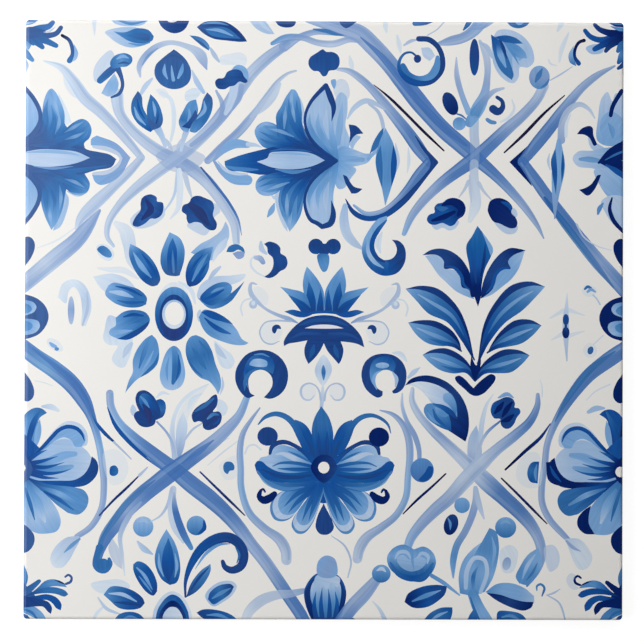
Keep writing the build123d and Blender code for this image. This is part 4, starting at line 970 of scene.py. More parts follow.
    # the dome, and the sliver of light across it
    shape(((-10.2, -6.7), (-10.3, -5.6), (-9.4, -3.8), (-7.5, -1.6), (-5, 0.2), (-2.5, 1), (0, 1.25),
           (2.5, 1), (5, 0.1), (7.5, -1.8), (9.4, -4.2), (10.2, -6.9)),
          ((10.2, -6.9), (8.2, -6), (4.2, -5.4)), ((4.2, -5.4), (4.9, -7.6), (4.3, -10.3), (3.7, -11.2)),
          ((3.7, -11.2), (2.2, -9.5), (0.8, -7.8), (-0.1, -5.9)),
          ((-0.1, -5.9), (-1, -7.8), (-2.6, -9.9), (-4, -11.2)),
          ((-4, -11.2), (-4.9, -9.2), (-5, -7.2), (-4.3, -5.2)),
          ((-4.3, -5.2), (-7, -5.7), (-9.2, -6.1), (-10.2, -6.7)), tones=NAVY)
    brush((-6.4, -1.4), (-3, -0.2), (0, 0), (3, -0.2), (6, -1.5), width=(0.2, 0.9, 0.9, 0.9, 0.2),
          tones=(34, 82, 150))
    for s in (-1, 1):
        brush((s * 2.6, -6.4), (s * 3, -8), (s * 3.6, -9.6), width=(0.4, 1.3, 0.3), tones=(34, 86, 152))
        brush((s * 9, -5), (s * 6, -3.6), (s * 1, -3.4), width=(0.2, 0.9, 0.3), tones=(36, 76, 142))
        blob(*mirrored(s, (13, -0.5), (15.4, -1), (16.4, -3), (15.5, -5.4), (13.6, -6.2), (11.6, -5),
                       (10.6, -2.6)), tones=MIST, opacity=0.4)
        brush(*mirrored(s, (8.4, -0.4), (12, -0.2), (15, -0.7), (16.4, -3), (15.4, -5.5), (13.4, -6.2),
                        (11.4, -5.4)), width=(0.4, 0.5, 0.35, 0.35, 0.35, 0.4, 0.2), tones=HAZE)
        blob(*mirrored(s, (13.3, -2.2), (12.9, -1.5), (12.1, -1.2), (11.3, -1.5), (11, -2.3),
                       (11.9, -2.3), (12.2, -3), (12.6, -3.5), (13.1, -3.2)), tones=NAVY)
    leaf(((-5, -2.1), (-3, -1.45), (0, -1.15), (3, -1.45), (4.9, -2.1)), ((0, -2.2),),
         tones=(224, 226, 236), grain=0.3)
    # the pale drop and the pair of curls under it
    blob((-0.2, -8.8), (1.4, -10.6), (2, -12.6), (1, -15.2), (-0.3, -16.7), (-1.6, -15.2), (-2.4, -12.8),
         (-1.6, -10.6), tones=(MIST, PALE, MIST))
    blob((-0.2, -11.4), (0.4, -13), (-0.1, -15.4), (-0.7, -13), tones=(AZURE, ROYAL, AZURE))
    brush((-0.3, -16.2), (-0.4, -19), (-0.7, -22.4), width=(0.4, 1, 0.9), tones=(MIST, HAZE))
    for s, x in ((-1, -0.7), (1, 0)):
        oval((x + s * 3.2, -18.3), 2, 2, tones=MIST, opacity=0.4)
        brush(*((x + s * a, b) for a, b in ((0.1, -20.4), (0.5, -18.2), (1.5, -16.7), (3.2, -16.1),
                                            (4.8, -16.9), (5.2, -18.6), (4.4, -20.1), (2.8, -20.3),
                                            (1.7, -19.1))),
              width=(0.6, 0.5, 0.4, 0.4, 0.5, 0.6, 0.5, 0.4, 0.2), tones=(HAZE, HAZE, PALE))


def paint_clusters():
    """The dark lobed clusters that hang in the trellis' openings, each with its pale shadow."""
    blob((-49.4, 25.4), (-48.6, 23.4), (-45.6, 23.2), (-42.4, 24.6), (-40.6, 26.6), (-41.4, 29.6),
         (-45, 29), tones=PALE, opacity=0.8)
    blob((-46.8, 29.5), (-46.3, 31), (-44.3, 31.8), (-42.7, 31), (-42.6, 30), (-41.2, 29.7), (-41, 28),
         (-41.6, 26.4), (-43, 25.6), (-44.2, 25.6), (-45.6, 24.4), (-47.6, 23.5), (-48.8, 24),
         (-48.2, 25.8), (-46.8, 27.8), tones=(NAVY, (44, 92, 160), NAVY))
    brush((-45.4, 30.4), (-44.2, 28), (-46.4, 25.4), width=(0.6, 1.8, 0.6), tones=(34, 54, 112))
    blob((-58, 18.4), (-56.4, 19.2), (-54.2, 18.2), (-53.4, 16.2), (-54.6, 14.8), (-57, 15.8),
         tones=MIST, opacity=0.8)
    blob((-57.8, 17.8), (-56.6, 18.7), (-55, 18), (-54, 16.4), (-54.4, 15.7), (-56, 16),
         tones=(ROYAL, AZURE))
    blob((-35, 24), (-33, 22.3), (-30.4, 21.4), (-29, 23), (-28, 26), (-26.5, 27.6), (-28, 29.6),
         (-32, 26), tones=PALE, opacity=0.8)
    blob((-33.8, 31), (-32.2, 31.5), (-30.4, 30.9), (-28.6, 30), (-28.1, 28.6), (-28.4, 26.5),
         (-27.4, 24.4), (-27.8, 22.9), (-29, 22.7), (-30.4, 23.5), (-31.4, 24.5), (-33, 24.8),
         (-34.5, 24.4), (-35.1, 25.5), (-35.2, 26.6), (-36.3, 27.5), (-36, 29), (-34.5, 29.7),
         tones=(NAVY, (38, 84, 150), NAVY))
    brush((-34, 29), (-32, 27.4), (-29.6, 24.2), width=(1.6, 2.6, 0.8), tones=(40, 60, 116))
    blob((27.2, 24.4), (28.4, 23), (30, 23.6), (31.6, 22.9), (33.2, 23.4), (34.2, 25.2), (31, 26),
         tones=PALE)
    blob((26, 25.6), (26.5, 26.8), (28, 27.5), (27.9, 28.7), (28.7, 29.7), (30, 30), (31.2, 30.9),
         (33, 31.2), (35, 30.4), (35.9, 28.7), (35.4, 26.8), (34, 25.7), (33, 24.4), (32, 24),
         (31, 24.4), (30, 24.8), (28, 24.3), (26.7, 24.6), tones=((24, 74, 146), COBALT, MIDNIGHT))
    brush((30, 29.4), (32.6, 30.2), (34.8, 28.6), (34, 26.8), width=(0.6, 1.8, 2, 0.8), tones=MIDNIGHT)
    brush((27.4, 25.4), (30, 26.2), (33, 27.6), width=(0.6, 1.4, 0.8), tones=MIDNIGHT)
    brush((28.4, 28.8), (29.8, 28.4), (31.4, 28.6), width=(0.4, 1.3, 0.2), tones=ROYAL)
    blob((43, 25.6), (44.4, 23.4), (46.6, 22), (48.6, 22.4), (49.2, 24), (46, 25), tones=PALE)
    blob((47.2, 28.8), (48.6, 28.4), (49.1, 26.8), (48.2, 26), (47, 27.2), tones=PALE)
    blob((41.6, 29), (42.2, 30.5), (43.8, 31.2), (45.5, 31), (47, 30.1), (47.8, 28.8), (47.5, 27.5),
         (48.6, 26.3), (49.1, 24.8), (48.6, 23.7), (47.4, 23.5), (46, 24), (44.6, 24.7), (43, 25.2),
         (41.9, 26.8), (41.5, 28), tones=(MIDNIGHT, (18, 44, 108)))
    brush((45, 30.2), (46.8, 29.4), (47.4, 28), width=(0.3, 1.2, 0.3), tones=COBALT)
    for points in (((36.6, 35.4), (35.6, 33.4), (34.2, 31.4)), ((39.2, 35), (40.4, 33), (42.4, 30.8))):
        brush(*points, width=(1, 0.7, 0.3), tones=HAZE, opacity=0.8)
    brush((38, 40), (38, 37), (38.2, 34), (38.4, 29.6), (37, 25.4), width=(2.2, 2.3, 2.5, 2.8, 1.2),
          tones=(HAZE, PALE, MIST), opacity=0.75)
    brush((36.9, 37), (37, 33.4), (37.3, 30), width=(0.4, 0.8, 0.2), tones=HAZE, opacity=0.7)


def fringe_leaf(tip, back, front, foot, tones):
    """A palmette leaf: a lit body with a dark crescent along its upper side.
    Both sides run from the tip to the foot, and the crescent takes the upper part of the body."""
    leaf((tip, *back, foot), tuple(reversed(front)), tones=tones)
    inner = [0.74 * np.array(b) + 0.26 * np.array(f) for b, f in zip(back, front)]
    leaf((tip, *back, foot), tuple(map(tuple, reversed(inner))), tones=(NAVY, MIDNIGHT))
    middle = [0.42 * np.array(b) + 0.58 * np.array(f) for b, f in zip(back, front)]
    brush(*middle, width=(0.2, 0.9, 0.9, 0.2), tones=(LIGHT, SOFT, ROYAL), opacity=0.75)
    low = [0.2 * np.array(b) + 0.8 * np.array(f) for b, f in zip(back, front)]
    brush(*low[1:], foot, width=(0.1, 0.9, 1.1, 0.4), tones=(ROYAL, COBALT, MIDNIGHT), opacity=0.85)


def paint_palmette():
    """The palmette right of the centre: a bud and pairs of leaves."""
    leaf(((25.6, 16.4), (28.4, 16.7), (30.2, 15.8), (30.6, 13.4), (33, 12.8), (34.4, 11.2), (35, 8.8),
          (37, 7.6), (38.2, 5.4)), ((36, 6.2), (33.4, 7.5), (31, 9.7), (28.9, 11.7), (27.2, 14.2)),
         tones=(LIGHT, LIGHT, SOFT))
    leaf(((24.9, 16.6), (27, 17.9), (29.5, 18.3), (32, 17.7), (34.5, 16), (36.3, 13.6), (37.4, 11),
          (38, 8.6), (38.4, 6)), ((37.4, 6), (36.8, 7.8), (35, 8.5), (34.4, 11.2), (32.7, 13.1),
                                  (30.5, 13.2), (30.3, 15.2), (28.7, 16.6)),
         tones=(NAVY, NAVY, MIDNIGHT, MIDNIGHT))
    brush((30.8, 13.8), (33, 13.4), (34.8, 11.4), (35.4, 9.2), (37, 7.8),
          width=(0.3, 0.8, 0.9, 0.8, 0.3), tones=COBALT)
    leaf(((51, 17.8), (47.6, 17.2), (45.6, 15), (45.6, 13.6), (44, 13), (43, 12), (42.2, 10), (42, 8.4),
          (40, 5.6)), ((42.6, 6.6), (45.2, 8.6), (47.6, 10.6), (49.4, 13.2)),
         tones=(LIGHT, SOFT, SOFT, LIGHT))
    leaf(((51.2, 17.9), (49.6, 18.3), (47.4, 18.5), (45.4, 17.6), (43.2, 15.4), (41.8, 13.2), (40.8, 11),
          (40.1, 8.6), (39.8, 5.6)), ((41.4, 6.6), (43, 8.4), (43.1, 10), (44, 12), (45.2, 13.1),
                                      (47.4, 13.2), (46.7, 15), (48, 16.6)),
         tones=(MIDNIGHT, NAVY, NAVY, MIDNIGHT))
    brush((47.2, 13.4), (45.2, 13.2), (43.6, 11.8), (42.8, 9), (41.2, 7),
          width=(0.3, 0.8, 0.9, 0.8, 0.2), tones=COBALT)
    fringe_leaf((20.6, 8), ((24.4, 8.8), (29, 8), (33.8, 3.6), (36.4, -2)),
                ((23.4, 5), (26.4, 1.8), (31.4, -0.6), (34.8, -5)), (38.2, -10),
                tones=(SOFT, ROYAL, COBALT, NAVY))
    fringe_leaf((56.2, 8.7), ((52.4, 10), (47.6, 9), (43.4, 4.6), (40.6, -1)),
                ((53.6, 5.8), (50.4, 2.6), (46, -0.6), (42.4, -5)), (39, -11),
                tones=(SOFT, ROYAL, COBALT, NAVY))
    fringe_leaf((21.3, -0.6), ((24, 0), (28.4, -0.2), (32.4, -2.5), (34.4, -5.4)),
                ((23.2, -3.4), (26, -5.7), (29.4, -6.5), (32.6, -6.6)), (34.9, -7.8),
                tones=(SOFT, AZURE, ROYAL, NAVY))
    fringe_leaf((55.3, -1.2), ((52.6, 0.2), (48.6, 0.1), (45, -2.6), (42.8, -5.6)),
                ((53.2, -3.6), (50.2, -5.8), (46.4, -6.7), (43.4, -7.3)), (41.5, -8.2),
                tones=(AZURE, ROYAL, ROYAL, NAVY))
    fringe_leaf((25, -8.8), ((27.4, -7.5), (31, -7.1), (34.8, -8.9), (37.2, -11.6)),
                ((26.8, -10.7), (29.4, -12.6), (33, -13.5), (36.2, -13.3)), (38.4, -15.4),
                tones=(SOFT, AZURE, ROYAL, NAVY))
    fringe_leaf((52.3, -8.8), ((49.6, -7.5), (45.6, -7.4), (42, -9.4), (39.8, -11.8)),
                ((50.4, -11), (47.6, -13.1), (44, -13.4), (40.8, -13.5)), (38.4, -15.4),
                tones=(AZURE, ROYAL, ROYAL, NAVY))
    leaf(((37.4, -9), (37.2, -12), (38.3, -15.6)), ((39.6, -12.6), (39.8, -9.6), (38.7, -11.4)),
         tones=MIDNIGHT)
    # the diamond
    leaf(((38.9, 24.1), (37.6, 21.6), (36.2, 19.4), (36.1, 17.6), (36.8, 14), (37.4, 9), (38.2, 6),
          (39.1, 3.5)), ((39.8, 6), (40.1, 9.6), (40.8, 13), (42.4, 16.4), (42.9, 18), (42.2, 19.6),
                         (40.4, 22.2)), tones=(ROYAL, (24, 92, 160), COBALT, MIDNIGHT, MIDNIGHT))
    leaf(((40, 22.6), (41.6, 20.6), (42.9, 18.2), (42.3, 16.4)), ((41.6, 18.6), (40.8, 20.8)),
         tones=(SOFT, SOFT))
    brush((40.9, 19.6), (40.6, 15.6), (39.8, 11.4), width=(0.2, 0.8, 0.3), tones=(NAVY, MIDNIGHT),
          opacity=0.8)
    brush((37.4, 18.4), (38, 14), (38.6, 9.6), width=(0.2, 0.9, 0.3), tones=(COBALT, NAVY), opacity=0.8)
    # the dark V under it
    shape(((38, -17.2), (37, -16.2), (35.7, -14.8), (34.3, -14), (33.3, -14.5), (33.7, -15.6),
           (35.6, -17.3), (37.3, -18.8), (38.8, -19.2), (40.5, -18.6), (42, -17.2), (43.4, -15.4),
           (43.6, -14.2), (42.5, -13.6), (41, -14.4), (39.3, -15.8), (38, -17.2)), tones=MIDNIGHT)


def paint_lower_trellis():
    """The bands that cross at the lower left and at the lower right, and the lines drawn along them."""
    # behind the crossings: pale sprouts that point up
    blob((-37.5, -30), (-37, -24), (-34, -19.5), (-29.5, -16.6), (-32, -20.5), (-34.5, -25), (-36, -31),
         tones=MIST, opacity=0.5)
    brush((-20, -34), (-19.2, -32.2), (-17.6, -31.8), (-16, -33), width=0.5, tones=MIST)
    brush((-37.4, -35.4), (-38.5, -30), (-38.2, -25.4), (-36.6, -21.6), (-33.8, -18.8), (-29.4, -16.4),
          width=(1.8, 1.5, 1.1, 1, 0.9, 0.3), tones=(HAZE, MIST, MIST))
    leaf(((-37, -35.4), (-37.6, -31), (-37.2, -26.6), (-35.8, -23.4)),
         ((-34.7, -26.4), (-35, -30), (-36, -34)), tones=(LAVENDER, PALE, MIST))
    brush((-31, -18.8), (-33.4, -20.4), (-34.6, -23), width=(0.3, 1.3, 0.3), tones=MIST)
    brush((-42.4, -26), (-40, -28.6), (-38.5, -31.4), (-38, -35), width=(0.5, 0.6, 0.7, 1.2),
          tones=(LAVENDER, HAZE))
    brush((-31, -26.4), (-33.4, -28), (-36, -31.6), width=(0.4, 0.6, 0.4), tones=HAZE)
    brush((-36, -36), (-30, -33), (-24, -30), width=(0.3, 0.4, 0.2), tones=MIST)
    brush((-29.5, -37), (-26, -34), (-21.6, -30.6), width=(0.2, 0.4, 0.2), tones=MIST)
    leaf(((38.8, -26.6), (37, -29.5), (36.5, -33), (37, -38)), ((40, -34.6), (39.9, -30.5)),
         tones=(LIGHT, HAZE, LAVENDER))
    brush((39.8, -31.6), (40.2, -26), (41.4, -21.4), (43, -18.8), width=(1, 1.3, 1, 0.3),
          tones=(PALE, MIST))
    brush((44.8, -25.6), (41.6, -28.4), (39.6, -32), (38.8, -36), width=(0.5, 0.8, 0.8, 1.4),
          tones=(SLATE, HAZE, HAZE))
    brush((55, -15), (55.5, -17), (55.5, -19.4), width=(0.2, 0.4, 0.3), tones=MIST)

    band((-77.5, -6.4), (-73, -9.8), (-68.5, -12.8), (-64, -16.6), (-60.6, -21.4), (-58.4, -26.8),
         (-57, -32), (-56.2, -37), (-55.8, -42), (-56.4, -48), (-59, -52.6), (-62.6, -55.2),
         width=(4, 4.2, 4.4, 4.4, 3.8, 2.2, 1.8, 1.8, 1.7, 1.6, 1.6, 1.4),
         tones=(SLATE, AZURE, SLATE, SLATE, SOFT, LAVENDER, LAVENDER, LAVENDER))
    brush((-74, -7.4), (-68.4, -11.8), (-63.6, -16), (-60, -21.4), (-57.6, -26.6),
          width=(0.6, 1.3, 1.7, 1.5, 0.4), tones=SLATE, opacity=0.7)
    brush((-58.9, -24.4), (-57.4, -26.9), (-55.2, -29.4), (-53.2, -31.2), width=(0.2, 0.8, 0.9, 0.5),
          tones=(ROYAL, COBALT, NAVY))
    brush((-53.3, -31.2), (-51, -33.4), (-48.9, -35.5), width=(0.6, 0.5, 0.3), tones=HAZE)
    band((-54.4, -18.8), (-54.1, -22), (-52, -26.4), (-48.4, -30), (-43.6, -33.8), (-38, -38.2),
         (-33.4, -42), (-29, -45.4), (-25, -49), (-21.4, -53), (-18.4, -57), (-15, -61.2),
         (-11.8, -65.8), (-9, -70), (-6, -74.4), (-4, -78),
         width=(1.9, 2, 2.6, 3, 3.4, 4, 4.4, 4.4, 4, 3.6, 3.2, 3.2, 3.2, 3.2, 3.2, 3),
         tones=(LAVENDER, SOFT, SLATE, SLATE, SLATE, SLATE, LAVENDER, LAVENDER, SLATE, SLATE))
    band((-19.6, -19.8), (-21.5, -24.2), (-25, -28.2), (-29, -31.8), (-34, -35.4), (-38.4, -38.6),
         (-42, -41.4), (-46, -44.6), (-49.6, -48), (-52.2, -51.4), (-55, -55.4), (-56.6, -58.6),
         (-57.2, -60.6), width=(1.7, 2.2, 3, 3.4, 3.8, 4.2, 4.6, 4.4, 4.4, 4, 3.4, 2.6, 2),
         tones=(SOFT, LAVENDER, LAVENDER, SLATE, SLATE, SLATE, LAVENDER, SLATE, SLATE))
    brush((-55, -22.4), (-53, -26.9), (-49.6, -31), (-45, -35.2), (-41, -38.2),
          width=(0.2, 1, 1, 0.7, 0.3), tones=COBALT)
    brush((-40.8, -38.4), (-43.6, -36.2), (-45, -35), width=(0.2, 0.5, 0.2), tones=SLATE)

    brush((-36, -36.6), (-31.6, -33.4), (-28, -30.6), width=(0.4, 1.6, 0.3), tones=SLATE, opacity=0.7)
    band((-16.3, -22.4), (-18.5, -25.4), (-20.6, -29), (-21.3, -33), (-21.1, -38), (-20.9, -43),
         (-18.9, -49), (-15, -53), (-11.2, -55.8), (-9.6, -58.6), (-9.4, -61),
         width=(0.4, 1, 1.5, 1.7, 1.7, 1.7, 1.8, 2, 2.2, 2.8, 2.6),
         tones=(LAVENDER, LAVENDER, SOFT, LAVENDER, HAZE))
    band((22.5, -17.4), (22.4, -20.4), (24, -23.8), (27, -27.4), (30.8, -31), (34.6, -34.6),
         (38.4, -38.2), (42, -41.6), (46, -45.2), (50, -48.9), (53, -52.4), (55, -56.4), (55.4, -60),
         (54.2, -63.6), (51.8, -67.4), width=(1, 1.8, 2, 2.4, 2.8, 3.2, 4, 4.4, 4, 3.8, 3.4, 2.8, 2.4,
                                              1.8, 0.6), tones=(PALE, HAZE, LAVENDER, HAZE, HAZE, SLATE,
                                                                SLATE, LAVENDER, LAVENDER, SLATE))
    band((14.2, -22.9), (17.4, -23.9), (20, -26.4), (21.5, -30), (21.9, -34), (21.4, -40), (20.9, -45),
         (18.4, -49.6), (14.6, -52.7), (11, -55.2), (9.2, -58), (8.6, -60.6),
         width=(0.3, 1.2, 1.7, 1.9, 1.8, 1.7, 1.7, 1.8, 1.9, 2.2, 2.7, 2.5),
         tones=(LAVENDER, LAVENDER, SOFT, LAVENDER, HAZE))
    brush((19.9, -18.6), (19.9, -21.8), (21, -25.4), (23.2, -29.6), (24.2, -33), (24.3, -36),
          width=(0.4, 0.9, 1.1, 1.4, 1.3, 1), tones=(PALE, LAVENDER, LAVENDER))
    band((54.4, -18.8), (54.3, -21.6), (52.4, -25.6), (48.8, -29), (44, -32.8), (38.2, -38.2),
         (35.4, -41.2), (32, -45), (28, -48.5), (24.6, -52), (22.2, -55.4), (21.2, -58.4),
         width=(1, 1.9, 2.4, 2.7, 2.9, 3.8, 4, 3.6, 3.4, 3, 2.6, 2),
         tones=(LAVENDER, SLATE, LAVENDER, HAZE, HAZE, LAVENDER, LAVENDER, SOFT))
    band((77.6, -6.4), (72, -10.2), (67.4, -13.8), (64, -17.8), (61, -22.2), (58.5, -26.8),
         (56.8, -31.6), (56.2, -37), (55.5, -42), (55.6, -46.4), (57.4, -50.4), (61, -54.4), (65, -58.3),
         width=(3.8, 4, 3.6, 3.2, 2.6, 2, 1.7, 1.7, 1.7, 1.7, 1.7, 1.5, 0.5),
         tones=(SLATE, SLATE, SLATE, LAVENDER, LAVENDER, LAVENDER, LAVENDER))
    brush((74, -7.8), (68.4, -11.8), (64.4, -16.4), (61.4, -20.8), (58.8, -25.6),
          width=(0.4, 1.5, 1.7, 1.2, 0.3), tones=ROYAL, opacity=0.75)
    brush((57.6, -26.2), (55.2, -29.6), (51, -33.4), (46.2, -37.9), width=(0.3, 0.9, 0.8, 0.5),
          tones=(NAVY, MIDNIGHT, INK))
    # below the crossings
    brush((-42.8, -40.8), (-46.8, -43.8), (-50.4, -47.2), (-53.1, -50.7), (-55.9, -54.8), (-57.2, -58.6),
          width=(0.3, 1.2, 1.6, 1.7, 1.5, 1), tones=(SLATE, ROYAL, ROYAL), opacity=0.7)

    brush((-46.4, -46.4), (-49.4, -50), (-51.6, -55), (-51, -60), (-50.4, -65),
          width=(0.6, 1.4, 1.2, 0.8, 0.3), tones=(LAVENDER, HAZE, MIST))

    for line in (((-56.9, -49.8), (-53.4, -46), (-50, -42.8), (-46.8, -39.6)),
                 ((-31.4, -38.7), (-28, -42), (-24.6, -45.3), (-20, -49.7)),
                 ((31, -39), (27.4, -42.4), (23.8, -45.6), (20.2, -49.2)),
                 ((45.2, -40.1), (48.6, -43.4), (52, -46.8), (56.8, -51.6))):
        brush(*line, width=(0.4, 0.6, 0.65, 0.3),
              tones=(NAVY, MIDNIGHT) if line[0][0] < 0 else (INK, MIDNIGHT, INK))
    brush((-46.8, -39.6), (-44.8, -37.6), width=(0.8, 0.4), tones=HAZE)

    # a seed beside each strand
    blob((-56, -34), (-53, -33), (-50.4, -35), (-49.6, -38.4), (-51.4, -41.6), (-54, -42), tones=MIST,
         opacity=0.45)
    blob((-54.4, -38.4), (-54.1, -37.4), (-53, -37.1), (-52.2, -38), (-52.3, -39.2), (-53.2, -39.8),
         (-54.2, -39.5), tones=(COBALT, ROYAL))
    blob((-26.6, -37), (-24, -35), (-22.4, -34.6), (-22.2, -40), (-25, -40.6), tones=MIST, opacity=0.4)
    blob((-25.5, -37), (-24.8, -36.1), (-23.4, -36.2), (-22.7, -37.2), (-22.9, -38.2), (-23.9, -38.4),
         (-24.4, -39.2), (-25.3, -38.6), tones=(ROYAL, ROYAL))
    oval((25, -38.1), 3, 3.1, tones=(AZURE, SLATE))
    leaf(((27.9, -37.4), (27.4, -39.6), (25.4, -41.1), (24, -40.6)), ((25.6, -38.8), (26.8, -37)),
         tones=COBALT)
    blob((49.6, -36), (52, -33.6), (54.6, -33.8), (55, -42), (51.4, -42.4), (49, -40), tones=MIST,
         opacity=0.5)
    leaf(((54.8, -35.8), (53, -36), (52, -37.4), (51.8, -39.4), (52.6, -41), (54.4, -41.4)),
         ((54.6, -38.6),), tones=(COBALT, ROYAL, COBALT))
    brush((54.2, -36.6), (53.8, -38.6), (54, -40.6), width=(0.2, 0.8, 0.3), tones=AZURE)


def paint_horseshoes():
    """The two open rings over the bottom flower, and the big leaf on the right one."""
    brush((17.4, -8.3), (19.4, -8.6), (21, -10.4), width=(0.4, 1.4, 0.4), tones=MIST)
    brush((21.4, -14.6), (22.8, -13.2), (24.4, -12), width=(0.6, 1.3, 0.2), tones=PALE)
    leaf(((-17.6, -19.3), (-19.4, -19.9), (-21.2, -18.4), (-22.4, -16), (-22.5, -13.2), (-21.4, -10.7),
          (-19.4, -8.6), (-16.4, -7.7), (-13.4, -8.1), (-10.9, -9.8), (-9.4, -12.4), (-9.2, -15),
          (-10, -17.6), (-11.8, -19.4), (-13.9, -20.1), (-15.3, -19.7)),
         ((-14, -18.3), (-13.1, -16.4), (-13.4, -14.4), (-14.7, -13.1), (-16.3, -12.7), (-18, -13.3),
          (-19.1, -14.8), (-19.2, -16.8), (-18.7, -18.6)), tones=(NAVY, NAVY))
    leaf(((-19.4, -17.4), (-20.4, -14.6), (-20, -11.4), (-18.2, -9.2), (-15.6, -8.7), (-13.4, -9.6),
          (-12.6, -11.8), (-13, -13.8)), ((-14.6, -13), (-16.3, -12.6), (-18.2, -13.2), (-19.3, -15)),
         tones=(AZURE, COBALT, ROYAL, COBALT))
    blob((-19, -11.4), (-18.2, -10.2), (-16.2, -9.9), (-14.5, -10.6), (-14.6, -11.8), (-16.6, -12),
         (-18.4, -11.7), tones=(SOFT, LIGHT, SOFT))
    brush((-17.8, -8.9), (-15.8, -8.7), (-14, -9.4), width=(0.2, 0.5, 0.2), tones=AZURE)
    leaf(((14.9, -18.1), (14.8, -19.2), (13.7, -19.7), (12.2, -19), (10.5, -17.3), (9.6, -15),
          (9.6, -12.6), (10.6, -10.4), (12.5, -9), (15, -8.5), (17.6, -8.9), (19.7, -10.4),
          (20.8, -12.6), (20.9, -15), (20.3, -17), (19, -18.3), (17.6, -18.6), (17.3, -18)),
         ((18.2, -17.2), (18.7, -15.8), (18.4, -14.2), (17.3, -13), (15.6, -12.6), (14, -13.1),
          (12.9, -14.4), (12.9, -16), (13.7, -17.4)), tones=(NAVY, NAVY))
    leaf(((13.6, -17.6), (12, -15.6), (11.6, -12.6), (12.6, -10.2), (15, -9.2), (17.4, -9.8),
          (18.2, -11.6), (17.6, -13.2)), ((15.6, -12.5), (14, -13), (12.8, -14.4), (12.9, -16)),
         tones=(SOFT, AZURE, ROYAL, COBALT))
    oval((14.8, -11.5), 1.75, 0.75, tones=(LIGHT, SOFT))
    brush((-20.2, -18), (-20, -15.4), (-18.8, -13.4), (-17, -12.5), width=(0.2, 1, 0.8, 0.2), tones=ROYAL)
    brush((13.4, -17.6), (12.6, -15.4), (13.2, -13.6), (14.6, -12.8), width=(0.2, 0.8, 0.7, 0.2),
          tones=SOFT)
    brush((17.4, -13.2), (18.4, -14.8), (18.2, -16.8), width=(0.3, 1, 0.4), tones=LIGHT)
    # the big leaf
    leaf(((20.6, -16.6), (21.8, -15.1), (24, -14.2), (26.4, -14), (29, -14.6), (31.6, -15.9),
          (33.8, -17.9), (35.5, -20.3), (36.6, -23.2), (36.9, -26.4), (36.6, -29), (36, -30.8)),
         ((31.8, -28.1), (28, -25.8), (25.8, -23.8), (25.4, -22.4), (26.6, -21.2), (28.5, -21.2),
          (31, -19.6), (30.6, -17.6), (27.8, -16.1), (23.8, -15.6)), tones=(MIDNIGHT, NAVY, MIDNIGHT))
    leaf(((21.4, -16.4), (23.8, -15.7), (27.8, -16.1), (31.2, -17.8), (33.2, -20.1), (33.8, -22.7),
          (33.9, -24.6)), ((31.6, -22.6), (29.6, -21.4), (27.6, -21.2), (25.8, -18.9), (23.4, -17)),
         tones=(MIST, MIST, PALE, LIGHT, AZURE))
    blob((30.4, -18.8), (32, -18.4), (33.5, -20.6), (33.8, -23), (33.2, -24.2), (31.8, -22),
         (30.4, -20.4), tones=(SOFT, AZURE, ROYAL), opacity=0.8)
    brush((25.8, -18.7), (28.6, -20.3), (31, -21.7), (33.4, -24), width=(0.6, 1.5, 1.2, 0.1),
          tones=(MIST, PALE, SOFT), opacity=0.9)
    leaf(((27.8, -21), (26, -21.4), (25.4, -23), (26.2, -24.8), (28, -26.3), (30, -27.4), (32.4, -28.2)),
         ((32.2, -25.6), (31.4, -23.4), (29.8, -21.7)), tones=(AZURE, AZURE, ROYAL, COBALT))
    brush((27.9, -21.3), (30, -22), (32.2, -23.4), (33.8, -24.9), width=(0.4, 1.2, 1.5, 0.4),
          tones=(ROYAL, COBALT, NAVY))
    leaf(((28.2, -22), (30.2, -22.8), (31.8, -24.3)), ((30.4, -24.6), (28.8, -23.8)),
         tones=(SOFT, AZURE, AZURE))
    brush((27.7, -22.6), (28.6, -24.8), (31, -27), width=(0.3, 1, 0.3), tones=COBALT, opacity=0.7)
    brush((26.4, -23.4), (27.6, -25.2), (29.6, -26.6), width=(0.2, 0.7, 0.1), tones=SOFT, opacity=0.6)



